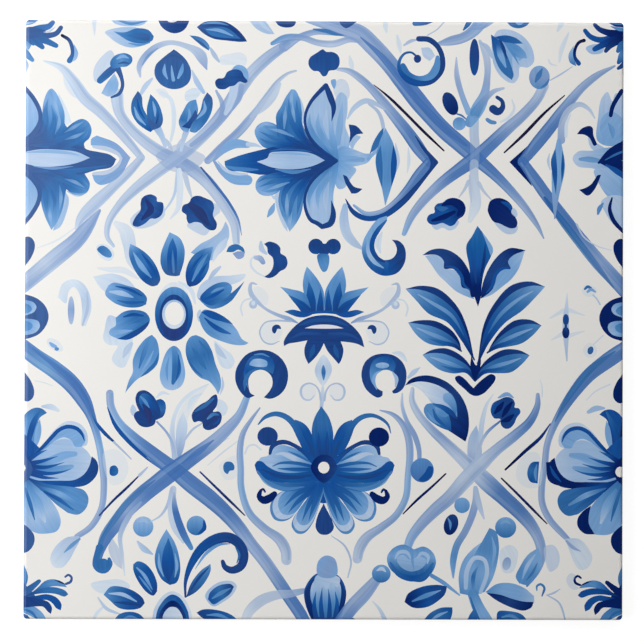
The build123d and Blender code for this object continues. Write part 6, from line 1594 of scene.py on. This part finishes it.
    # the flower right of them
    oval((32.4, -51.9), 1.8, 2.7, tones=(NAVY, MIDNIGHT), turn=-15)
    brush((31.6, -50.2), (32.2, -51.6), (32.2, -53.2), width=(0.2, 0.7, 0.2), tones=AZURE)
    oval((35.2, -47), 2, 2, tones=(SOFT, AZURE))
    brush((38.5, -43), (38.6, -46), (37.8, -49.4), (36, -53.6), (33.9, -57.2), (33, -61), (33, -65.4),
          width=(1, 1.8, 1.8, 1.8, 1.8, 1.6, 0.4), tones=(HAZE, LAVENDER, LAVENDER, AZURE, SOFT))
    brush((38.6, -42.6), (39.4, -46.4), (40.8, -50.4), width=(1.2, 1.5, 0.4), tones=(HAZE, PALE))
    leaf(((34.7, -69.4), (34.4, -65), (35.5, -61), (38, -58), (40.4, -56.2)),
         ((39.6, -60), (38.6, -64), (37.6, -69.6)), tones=(AZURE, SOFT, SOFT, LIGHT))
    leaf(((42.2, -52.7), (43.8, -53.6), (44.6, -57), (44.3, -61), (43, -65.6), (41, -69)),
         ((38, -69.6), (37, -65), (38, -60.4), (40.4, -56)), tones=(AZURE, AZURE, SOFT, AZURE))
    brush((36.2, -68), (36.5, -63.6), (38.4, -60.4), (40.8, -60.8), (41.6, -64), (40, -69),
          width=(1, 1.2, 1.1, 1, 1.1, 1), tones=(LIGHT, PALE, LIGHT))
    brush((38, -68), (38.2, -64.8), (39.2, -62.6), width=(0.6, 1.1, 0.2), tones=(AZURE, ROYAL, AZURE))
    brush((42.8, -55), (43.5, -58.4), (42.9, -62.4), width=(0.2, 0.9, 0.2), tones=SOFT)
    brush((38, -69.6), (39.4, -73), (42, -77.4), width=(2.6, 3.2, 3.4), tones=(AZURE, SOFT, SOFT))
    brush((37.4, -70.4), (38.4, -73.4), (40, -76.8), width=(0.3, 0.7, 0.4), tones=ROYAL)
    leaf(((41.2, -69), (44, -67), (47.5, -66.7), (51, -67.9), (53.6, -70)),
         ((53.4, -72), (49, -71.6), (45, -70.6)), tones=(AZURE, SOFT, SOFT, LIGHT))
    leaf(((41.4, -69.2), (45, -69.7), (48, -70.7), (51, -71.4), (53.4, -71.5)),
         ((53, -72.8), (51, -73.7), (48, -73), (44, -71.1)), tones=(MIDNIGHT, NAVY, MIDNIGHT))
    leaf(((36.2, -77.2), (37.2, -74.8), (38.2, -73.4)), ((39.2, -75.2), (38.6, -77.2)),
         tones=(COBALT, ROYAL))
    leaf(((44.1, -77.2), (44.4, -74), (47, -73.8), (50.5, -74.7), (52.4, -77.2)), (),
         tones=(COBALT, ROYAL, COBALT))
    brush((45.4, -75.4), (47.6, -75), (50.4, -76.4), width=(0.3, 0.8, 0.2), tones=AZURE)
    # the far right of the opening
    oval((46.3, -52.6), 2.7, 2.65, tones=(SOFT, AZURE, ROYAL))
    brush((45, -51.6), (46.4, -51), (47.6, -51.7), width=(0.2, 0.8, 0.2), tones=SOFT)
    blob((45, -58.4), (47.4, -57), (49.3, -58.4), (49.3, -61), (48, -64), (45.8, -64), (44.8, -61),
         tones=MIST, opacity=0.9)
    oval((46.6, -61.8), 1.1, 1.7, tones=(LAVENDER, HAZE), turn=-12)
    leaf(((54.7, -57.7), (52, -59.5), (50, -62.5), (48.9, -65.2), (49.8, -66.8)),
         ((52, -67.2), (54, -65.3), (55.6, -61.8)), tones=(SOFT, SOFT, AZURE, AZURE))
    brush((53.8, -59.4), (51.8, -62.4), (50.6, -65.6), width=(0.2, 1, 0.3), tones=(LIGHT, LIGHT, SOFT))
    brush((54.4, -61.6), (53.2, -64), (51.6, -66), width=(0.2, 0.7, 0.2), tones=ROYAL, opacity=0.7)
    blob((56.2, -57.6), (58.4, -57), (60, -59.4), (59.6, -62.6), (57.6, -63.8), (56.4, -61), tones=PALE,
         opacity=0.7)
    brush((54.3, -68.6), (54.3, -67.5), (55.3, -67), (56.2, -67.9), (55.6, -70),
          width=(0.3, 0.6, 0.6, 0.6, 0.3), tones=(AZURE, ROYAL))
    brush((56.8, -69.8), (58.6, -69.2), (60.2, -68.2), width=(0.3, 0.5, 0.2), tones=HAZE)
    brush((57, -69.8), (60, -71.8), (61.8, -77), width=(0.3, 0.5, 0.4), tones=HAZE)


def paint_picture():
    """The whole picture, washes first."""
    paint_upper_washes()
    paint_upper_trellis()
    paint_lower_trellis()
    paint_left_flower()
    paint_centre_flower()
    paint_top_row()
    paint_upper_corners()
    paint_right_flower()
    paint_edge_discs()
    paint_daisy()
    paint_clusters()
    paint_centre_crown()
    paint_palmette()
    paint_horseshoes()
    paint_lower_clusters()
    paint_bottom_flower()
    paint_lower_edge_flowers()
    paint_bottom_row()


# The mesh

# Lengths in millimetres, as in the part's source
ROLL = 0.8  # radius of the glaze where the face turns into the edge
CORNER = 1.0  # radius of the four corners, seen from the front
CORNER_STEPS = 8  # round one of them
GLAZE_LINE = 3.4  # mean height on the edge where the glaze stops
GLAZE_WAVE = 0.35  # how far that line wanders
GLAZE_RIPPLES = ((1, 7, 1), (0.6, 17, 0), (0.4, 41, 2))  # strength, count round the tile and start
UNDERCUT_HEIGHT = 2.4  # up the edge, from the bedding plane
UNDERCUT_INSET = 0.8  # in from the edge, at the bedding plane
KEY_COUNT = 8  # pockets each way on the back
KEY_DEPTH = 0.8  # of a pocket
KEY_RIB = 3.5  # between two pockets
KEY_RIM = 12.0  # from the tile's edge to the outermost pockets
KEY_CORNER = 1.6  # radius of a pocket's corners, at the bedding plane
KEY_STEPS = 12  # round a pocket's corner, the same at its mouth and its floor
KEY_DRAFT = 30.0  # degrees that a pocket's walls lean open
KEY_RUN = KEY_DEPTH * math.tan(math.radians(KEY_DRAFT))  # how far they lean in
FACE_RINGS = (0, 0.07, 0.2, 0.4, 0.68, 1, 1.3)  # insets of the loops that carry the roll
RING_SPACING = 2.5  # between a loop's points on the straight
RING_CORNER = 0.1  # the least radius of a loop's corner
FACE_GRID = 1.6  # between the loose points that let the tones run
GRID_MARGIN = 2.0  # from the edge to the first of them
MERGE_DISTANCE = 1e-4  # points closer than this become one
RIM_DECIMALS = 4  # of the points down the edge
PAINT_FADE = 0.2  # how far in from the edge the paint thins out
BRISTLE_OPACITY = 0.5  # a fainter stroke leaves the bristles below it showing
SHARP_ANGLE = 34.0  # degrees between two faces, from which their edge looks sharp

# The unwrapped map, as shares of its side
FACE_SHARE = 0.75  # goes to the painted face
FACE_MARGIN = 0.004
MAP_MARGIN = 0.01
STRIP_PITCH = 0.075  # from one of the edge's rings to the next
STRIP_HEIGHT = 0.06


def rounded_square(half, radius, spacing, steps):
    """The points of a square with corners rounded in so many steps, anticlockwise from the right side."""
    straight = np.linspace(-1, 1, max(2, math.ceil(2 * (half - radius) / spacing)) + 1)[:-1]
    points = []
    for quarter in range(4):
        cos, sin = (1, 0, -1, 0)[quarter], (0, 1, 0, -1)[quarter]
        side = [(half, s * (half - radius)) for s in straight]
        turn = np.radians(np.linspace(0, 90, steps + 1)[:-1])
        side += [(half - radius + radius * math.cos(t),
                  half - radius + radius * math.sin(t)) for t in turn]
        points += [(x * cos - y * sin, x * sin + y * cos) for x, y in side]
    return np.array(points)


def inset_from_edge(points):
    """How far each point of the face lies in from the tile's edge, and which way the edge faces."""
    beyond = np.abs(points) - (HALF - CORNER)
    outside = np.maximum(beyond, 0)
    reach = np.hypot(*outside.T)
    inset = CORNER - reach - np.minimum(beyond.max(1), 0)
    flat = np.where(beyond[:, :1] > beyond[:, 1:], [[1.0, 0.0]], [[0.0, 1.0]])
    outward = np.where(reach[:, None] > 1e-6, outside / np.maximum(reach, 1e-6)[:, None], flat)
    return inset, outward * np.sign(points)


def inside(outline, points):
    """Whether each point lies inside the outline, by its winding number."""
    winding = np.zeros(len(points), int)
    x, y = points.T
    for (x0, y0), (x1, y1) in zip(outline, np.roll(outline, -1, 0)):
        side = (x1 - x0) * (y - y0) - (x - x0) * (y1 - y0)
        winding += (y0 <= y) & (y1 > y) & (side > 0)
        winding -= (y0 > y) & (y1 <= y) & (side < 0)
    return winding != 0


def triangulate(loops, loose=()):
    """A flat mesh in which every loop's edges are kept. Returns its points and its triangles."""
    points, edges = [], []
    for loop in loops:
        first = len(points)
        count = len(loop)
        points += [Vector(p) for p in loop]
        edges += [(first + i, first + (i + 1) % count) for i in range(count)]
    points += [Vector(p) for p in loose]
    found = delaunay_2d_cdt(points, edges, [], 0, MERGE_DISTANCE, False)
    return np.array([tuple(p) for p in found[0]]), np.array([tuple(f) for f in found[2]])


def linear(colour):
    """The light that a screen colour stands for."""
    return np.where(colour <= 0.04045, colour / 12.92, ((colour + 0.055) / 1.055) ** 2.4)


def painted_face():
    """The face as a flat mesh cut along every brush stroke, with the paint at each corner."""
    rings = []
    for inset in FACE_RINGS:
        radius = max(CORNER - inset, RING_CORNER)
        steps = max(4, math.ceil(CORNER_STEPS * radius))
        rings.append(rounded_square(HALF - inset, radius, RING_SPACING, steps))
    lines = np.arange(-HALF + GRID_MARGIN, HALF - GRID_MARGIN, FACE_GRID)
    loose = [(x, y) for x in lines for y in lines]
    points, faces = triangulate(rings + [s["outline"] for s in strokes], loose)
    middle = points[faces].mean(1)
    kept = inside(rings[0], middle)
    faces, middle = faces[kept], middle[kept]
    corners = points[faces]
    paint = np.zeros((len(faces), 3, 4))
    paint[:, :, :3] = np.array(WHITE) / 255
    bristle = np.zeros((len(faces), 3, 3))
    fade = np.clip(inset_from_edge(corners.reshape(-1, 2))[0] / PAINT_FADE, 0, 1).reshape(-1, 3)
    for number, stroke in enumerate(strokes):
        low, high = stroke["outline"].min(0), stroke["outline"].max(0)
        near = np.flatnonzero(((middle > low) & (middle < high)).all(1))
        covered = near[inside(stroke["outline"], middle[near])]
        if not len(covered):
            continue
        colour, local = tone_at(stroke, corners[covered].reshape(-1, 2))
        share = (stroke["opacity"] * fade[covered])[:, :, None]
        paint[covered, :, :3] += share * (colour.reshape(-1, 3, 3) - paint[covered, :, :3])
        paint[covered, :, 3:] += share * (stroke["grain"] - paint[covered, :, 3:])
        if stroke["opacity"] > BRISTLE_OPACITY:
            bristle[covered, :, :2] = local.reshape(-1, 3, 2)
            bristle[covered, :, 2] = number
    paint[:, :, :3] = linear(paint[:, :, :3])
    return points, faces, paint, bristle


def unwrap(mesh, face_count, rim_count):
    """The tile laid out flat: the face in the lower left, the edge's three rings unrolled above it,
    and the back at the lower right."""
    places = np.zeros(len(mesh.vertices) * 3)
    mesh.vertices.foreach_get("co", places)
    corner_points = np.zeros(len(mesh.loops), int)
    mesh.loops.foreach_get("vertex_index", corner_points)
    square = places.reshape(-1, 3)[corner_points, :2] / MM / SIDE + 0.5
    map_uv = FACE_MARGIN + square * (FACE_SHARE - 2 * FACE_MARGIN)
    whole = 1 - 2 * MAP_MARGIN
    back = FACE_SHARE + MAP_MARGIN + square * (whole - FACE_SHARE)
    back[:, 1] -= FACE_SHARE
    first = face_count * 3
    map_uv[first:] = back[first:]
    for ring in range(3):
        low = FACE_SHARE + 2 * MAP_MARGIN + STRIP_PITCH * ring
        start = first + ring * rim_count * 4
        along = np.arange(rim_count)[:, None] + np.array([0, 0, 1, 1])
        up = np.tile([STRIP_HEIGHT, 0, 0, STRIP_HEIGHT], (rim_count, 1))
        unrolled = np.stack([MAP_MARGIN + whole * along / rim_count, low + up], 2)
        map_uv[start : start + rim_count * 4] = unrolled.reshape(-1, 2)
    mesh.uv_layers.new(name="OFBake").data.foreach_set("uv", map_uv.ravel())


def build_tile(glaze, biscuit):
    """The whole tile as one closed mesh: face, rolled edge, glazed side, undercut and keyed back."""
    flat, face_tris, face_paint, face_bristle = painted_face()
    used = np.unique(face_tris)
    renumber = np.full(len(flat), -1)
    renumber[used] = np.arange(len(used))
    flat, face_tris = flat[used], renumber[face_tris]
    # the rim is where an edge belongs to one triangle alone
    edges = np.sort(np.vstack([face_tris[:, [0, 1]], face_tris[:, [1, 2]], face_tris[:, [2, 0]]]), axis=1)
    sides, uses = np.unique(edges, axis=0, return_counts=True)
    rim = np.unique(sides[uses == 1])
    rim = rim[np.argsort(np.arctan2(flat[rim, 1], flat[rim, 0]))]
    inset, outward = inset_from_edge(flat)
    inset[rim] = 0
    depth = np.clip(ROLL - inset, 0, ROLL)
    points = [np.column_stack([flat, TOP - ROLL + np.sqrt(ROLL**2 - depth**2)])]
    faces = [tuple(t) for t in face_tris]
    slots = [0] * len(faces)

    # down the edge, ring by ring
    angle = np.arctan2(flat[rim, 1], flat[rim, 0])
    wander = sum(strength * np.sin(count * angle + start) for strength, count, start in GLAZE_RIPPLES)
    drops = (
        (GLAZE_LINE + GLAZE_WAVE / 2 * wander, 0.0),
        (np.full(len(rim), UNDERCUT_HEIGHT), 0.0),
        (np.zeros(len(rim)), UNDERCUT_INSET),
    )
    above, total = rim, len(flat)
    for level, (height, inward) in enumerate(drops):
        # rounded, so that a straight side stays straight when the back is triangulated
        points.append(np.column_stack([np.round(flat[rim] - inward * outward[rim], RIM_DECIMALS),
                                       height]))
        below = total + np.arange(len(rim))
        total += len(rim)
        faces += list(zip(above, below, np.roll(below, -1), np.roll(above, -1)))
        slots += [0 if level == 0 else 1] * len(rim)
        above = below

    # the back: the bedding plane between the pockets, then each pocket's walls and floor
    pitch = (SIDE - 2 * KEY_RIM + KEY_RIB) / KEY_COUNT
    mouth = rounded_square((pitch - KEY_RIB) / 2, KEY_CORNER, pitch, KEY_STEPS)
    floor = rounded_square((pitch - KEY_RIB) / 2 - KEY_RUN, KEY_CORNER - KEY_RUN, pitch, KEY_STEPS)
    steps = (np.arange(KEY_COUNT) - (KEY_COUNT - 1) / 2) * pitch
    centres = [np.array([x, y]) for x in steps for y in steps]
    outer = points[-1][:, :2]
    mouths = [centre + mouth for centre in centres]
    plane, plane_tris = triangulate([outer] + mouths)
    middle = plane[plane_tris].mean(1)
    solid = inside(outer, middle)
    for loop in mouths:
        near = np.flatnonzero((np.abs(middle - loop.mean(0)) < pitch / 2).all(1))
        solid[near[inside(loop, middle[near])]] = False
    plane_tris = plane_tris[solid]
    # the plane's points are the rings' points again, so each takes the number of its twin
    rings = np.vstack([outer] + mouths)
    first_mouth = total
    points.append(np.column_stack([np.vstack(mouths), np.zeros(len(mouths) * len(mouth))]))
    total += len(mouths) * len(mouth)
    numbers = np.concatenate([above, first_mouth + np.arange(len(mouths) * len(mouth))])
    twin = np.array([np.hypot(*(rings - p).T).argmin() for p in plane])
    faces += [tuple(numbers[twin[t]][::-1]) for t in plane_tris]
    slots += [1] * len(plane_tris)
    for k, centre in enumerate(centres):
        upper = total + np.arange(len(floor))
        points.append(np.column_stack([centre + floor, np.full(len(floor), KEY_DEPTH)]))
        total += len(floor)
        lower = first_mouth + k * len(mouth) + np.arange(len(mouth))
        faces += list(zip(lower, upper, np.roll(upper, -1), np.roll(lower, -1)))
        faces.append(tuple(upper[::-1]))
        slots += [1] * (len(mouth) + 1)

    mesh = bpy.data.meshes.new("delft_tile")
    mesh.from_pydata(np.vstack(points) * MM, [], [tuple(int(i) for i in f) for f in faces])
    mesh.polygons.foreach_set("material_index", slots)
    mesh.materials.append(glaze)
    mesh.materials.append(biscuit)
    corner_count = len(mesh.loops)
    painted = np.tile([*linear(np.array(WHITE) / 255), 0.0], (corner_count, 1))
    painted[: len(face_tris) * 3] = face_paint.reshape(-1, 4)
    bristles = np.zeros((corner_count, 3))
    bristles[: len(face_tris) * 3] = face_bristle.reshape(-1, 3)
    mesh.attributes.new("paint", "FLOAT_COLOR", "CORNER").data.foreach_set("color", painted.ravel())
    mesh.attributes.new("bristle", "FLOAT_VECTOR", "CORNER").data.foreach_set("vector", bristles.ravel())
    unwrap(mesh, len(face_tris), len(rim))
    mesh.update()
    mesh.shade_smooth()
    mesh.set_sharp_from_angle(angle=math.radians(SHARP_ANGLE))
    tile = bpy.data.objects.new("delft_tile", mesh)
    bpy.context.scene.collection.objects.link(tile)
    return tile


# The materials


def new_material(name):
    """A node material with its shader, and a function that adds a node with inputs and settings."""
    material = bpy.data.materials.new(name)
    material.use_nodes = True
    tree = material.node_tree

    def add(kind, settings=(), **inputs):
        node = tree.nodes.new(kind)
        for key, value in dict(settings).items():
            setattr(node, key, value)
        for key, value in inputs.items():
            socket = node.inputs[int(key[1:])] if key[0] == "_" else node.inputs[key]
            if isinstance(value, bpy.types.NodeSocket):
                tree.links.new(value, socket)
            else:
                socket.default_value = value
        return node

    return material, tree.nodes["Principled BSDF"], tree, add


def ranged(add, value, taken=(0, 1), given=(0, 1)):
    """Adds a node that maps the values between the taken limits to the given ones."""
    limits = {"From Min": taken[0], "From Max": taken[1], "To Min": given[0], "To Max": given[1]}
    return add("ShaderNodeMapRange", Value=value, **limits)


def glaze_material():
    """White glaze with cobalt in it: the paint's tones, the bristles' streaks and a soft ripple."""
    material, shader, tree, add = new_material("decorated_glaze")
    paint = add("ShaderNodeAttribute", {"attribute_name": "paint"})
    bristle = add("ShaderNodeAttribute", {"attribute_name": "bristle"})
    place = add("ShaderNodeTexCoord").outputs["Object"]
    # streaks run along each stroke, fine across it and long with it
    drawn = add("ShaderNodeVectorMath", {"operation": "MULTIPLY"}, _0=bristle.outputs["Vector"],
                _1=(0.11, 1.5, 7.3))
    streak = add("ShaderNodeTexNoise", Vector=drawn.outputs[0], Scale=1.0, Detail=3.0, Roughness=0.6)
    spread = ranged(add, streak.outputs["Fac"], taken=(0.28, 0.72), given=(-0.15, 0.19))
    strength = add("ShaderNodeMath", {"operation": "MULTIPLY"}, _0=spread.outputs[0],
                   _1=paint.outputs["Alpha"])
    # the glaze over all of it is a little darker here and paler there
    pooling = add("ShaderNodeTexNoise", Vector=place, Scale=38.0, Detail=2.0)
    pooled = ranged(add, pooling.outputs["Fac"], given=(0.975, 1.02))
    level = add("ShaderNodeMath", {"operation": "ADD"}, _0=strength.outputs[0], _1=pooled.outputs[0])
    tinted = add("ShaderNodeVectorMath", {"operation": "SCALE"}, _0=paint.outputs["Color"],
                 Scale=level.outputs[0])
    tree.links.new(tinted.outputs[0], shader.inputs["Base Color"])
    worn = add("ShaderNodeTexNoise", Vector=place, Scale=420.0, Detail=3.0)
    rough = ranged(add, worn.outputs["Fac"], given=(0.12, 0.22))
    tree.links.new(rough.outputs[0], shader.inputs["Roughness"])
    ripple = add("ShaderNodeTexNoise", Vector=place, Scale=75.0, Detail=4.0, Roughness=0.45)
    bump = add("ShaderNodeBump", Height=ripple.outputs["Fac"], Strength=0.35, Distance=0.0004)
    tree.links.new(bump.outputs[0], shader.inputs["Normal"])
    shader.inputs["IOR"].default_value = 1.5
    shader.inputs["Specular IOR Level"].default_value = 0.25
    return material


def biscuit_material():
    """The bare fired clay of the back and the foot of the edge: cream, matt and finely speckled."""
    material, shader, tree, add = new_material("biscuit")
    place = add("ShaderNodeTexCoord").outputs["Object"]
    clouds = add("ShaderNodeTexNoise", Vector=place, Scale=55.0, Detail=4.0)
    body = add("ShaderNodeValToRGB", Fac=clouds.outputs["Fac"])
    body.color_ramp.elements[0].position = 0.3
    body.color_ramp.elements[0].color = (0.62, 0.5, 0.37, 1)
    body.color_ramp.elements[1].position = 0.75
    body.color_ramp.elements[1].color = (0.74, 0.64, 0.51, 1)
    grains = add("ShaderNodeTexVoronoi", Vector=place, Scale=900.0)
    speck = ranged(add, grains.outputs["Distance"], taken=(0.05, 0.2), given=(0.72, 1))
    speckled = add("ShaderNodeVectorMath", {"operation": "SCALE"}, _0=body.outputs["Color"],
                   Scale=speck.outputs[0])
    tree.links.new(speckled.outputs[0], shader.inputs["Base Color"])
    shader.inputs["Roughness"].default_value = 0.88
    grit = add("ShaderNodeTexNoise", Vector=place, Scale=1400.0, Detail=3.0)
    bump = add("ShaderNodeBump", Height=grit.outputs["Fac"], Strength=0.4, Distance=0.0002)
    tree.links.new(bump.outputs[0], shader.inputs["Normal"])
    return material


# The stage

# The floor. Lengths are in metres from here on.
FLOOR_REACH = 3.0
FLOOR_GAP = 0.0002
FLOOR_SHEET = (0.3, 0.3, 0.3, 1)  # catches the shadow that the camera sees
FLOOR_GLOW = 0.88  # makes it white
FLOOR_BOUNCE = (0.8, 0.8, 0.8, 1)  # for the light that the floor throws back

# Each lamp's name, place in metres and power in watts. The one on the left is the stronger, so the
# light falls off to the right and downwards.
LAMPS = (("left_lamp", (-0.32, 0.055, 0.33), 2.07), ("far_lamp", (0, 0.39, 0.414), 1.3))
LAMP_SIZE = 0.45
ROOM_LIGHT = 0.116
CEILING_LIGHT = 0.0415
CEILING_RANGE = (0.8, 0.94)  # upward share of a direction, where the ceiling sets in

# The camera looks straight down on the face, a hair off square, as the photograph does
FOCAL = 100.0
SENSOR = 36.0
CAMERA_AT = (-0.0047, -0.0037, 0.4618)
CAMERA_TURN = (0.4, -0.52, 0.2)  # degrees


def floor_material():
    """A white floor that keeps a faint shadow and looks white to the camera."""
    material, shader, tree, add = new_material("studio_floor")
    tree.nodes.remove(shader)
    sheet = add("ShaderNodeBsdfDiffuse", Color=FLOOR_SHEET)
    glow = add("ShaderNodeEmission", Strength=FLOOR_GLOW)
    path = add("ShaderNodeLightPath")
    seen = add("ShaderNodeMath", {"operation": "MAXIMUM"}, _0=path.outputs["Is Camera Ray"],
               _1=path.outputs["Is Glossy Ray"])
    seen = add("ShaderNodeMath", {"operation": "MAXIMUM"}, _0=seen.outputs[0],
               _1=path.outputs["Is Transmission Ray"])
    lit = add("ShaderNodeAddShader", _0=sheet.outputs[0], _1=glow.outputs[0])
    plain = add("ShaderNodeBsdfDiffuse", Color=FLOOR_BOUNCE)
    mix = add("ShaderNodeMixShader", _0=seen.outputs[0], _1=plain.outputs[0], _2=lit.outputs[0])
    tree.links.new(mix.outputs[0], tree.nodes["Material Output"].inputs["Surface"])
    return material


def build_stage():
    """The floor under the tile, the two soft lamps and the pale room with its darker ceiling."""
    mesh = bpy.data.meshes.new("studio_floor")
    corners = [(x * FLOOR_REACH, y * FLOOR_REACH, 0) for x, y in ((-1, -1), (1, -1), (1, 1), (-1, 1))]
    mesh.from_pydata(corners, [], [(0, 1, 2, 3)])
    mesh.materials.append(floor_material())
    floor = bpy.data.objects.new("studio_floor", mesh)
    floor.location.z = LOW.z - FLOOR_GAP
    bpy.context.scene.collection.objects.link(floor)

    for name, place, power in LAMPS:
        lamp = bpy.data.lights.new(name, "AREA")
        lamp.shape = "DISK"
        lamp.size = LAMP_SIZE
        lamp.energy = power
        lamp_object = bpy.data.objects.new(name, lamp)
        lamp_object.location = place
        lamp_object.rotation_euler = (-Vector(place)).to_track_quat("-Z", "Y").to_euler()
        bpy.context.scene.collection.objects.link(lamp_object)

    world = bpy.data.worlds.new("pale_room")
    world.use_nodes = True
    tree = world.node_tree
    way = tree.nodes.new("ShaderNodeTexCoord")
    split = tree.nodes.new("ShaderNodeSeparateXYZ")
    level = tree.nodes.new("ShaderNodeMapRange")
    level.inputs["From Min"].default_value = CEILING_RANGE[0]
    level.inputs["From Max"].default_value = CEILING_RANGE[1]
    level.inputs["To Min"].default_value = ROOM_LIGHT
    level.inputs["To Max"].default_value = CEILING_LIGHT
    background = tree.nodes["Background"]
    background.inputs["Color"].default_value = (1, 1, 1, 1)
    tree.links.new(way.outputs["Generated"], split.inputs[0])
    tree.links.new(split.outputs["Z"], level.inputs["Value"])
    tree.links.new(level.outputs[0], background.inputs["Strength"])
    bpy.context.scene.world = world


def build_camera():
    """The camera over the face, and the scene's own."""
    data = bpy.data.cameras.new("camera")
    data.lens = FOCAL
    data.sensor_width = SENSOR
    camera = bpy.data.objects.new("camera", data)
    camera.location = CAMERA_AT
    camera.rotation_euler = [math.radians(a) for a in CAMERA_TURN]
    bpy.context.scene.collection.objects.link(camera)
    bpy.context.scene.camera = camera


paint_picture()
tile = build_tile(glaze_material(), biscuit_material())
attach(tile, "root")
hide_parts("tile")
build_stage()
build_camera()
bpy.context.scene.view_settings.view_transform = "Standard"
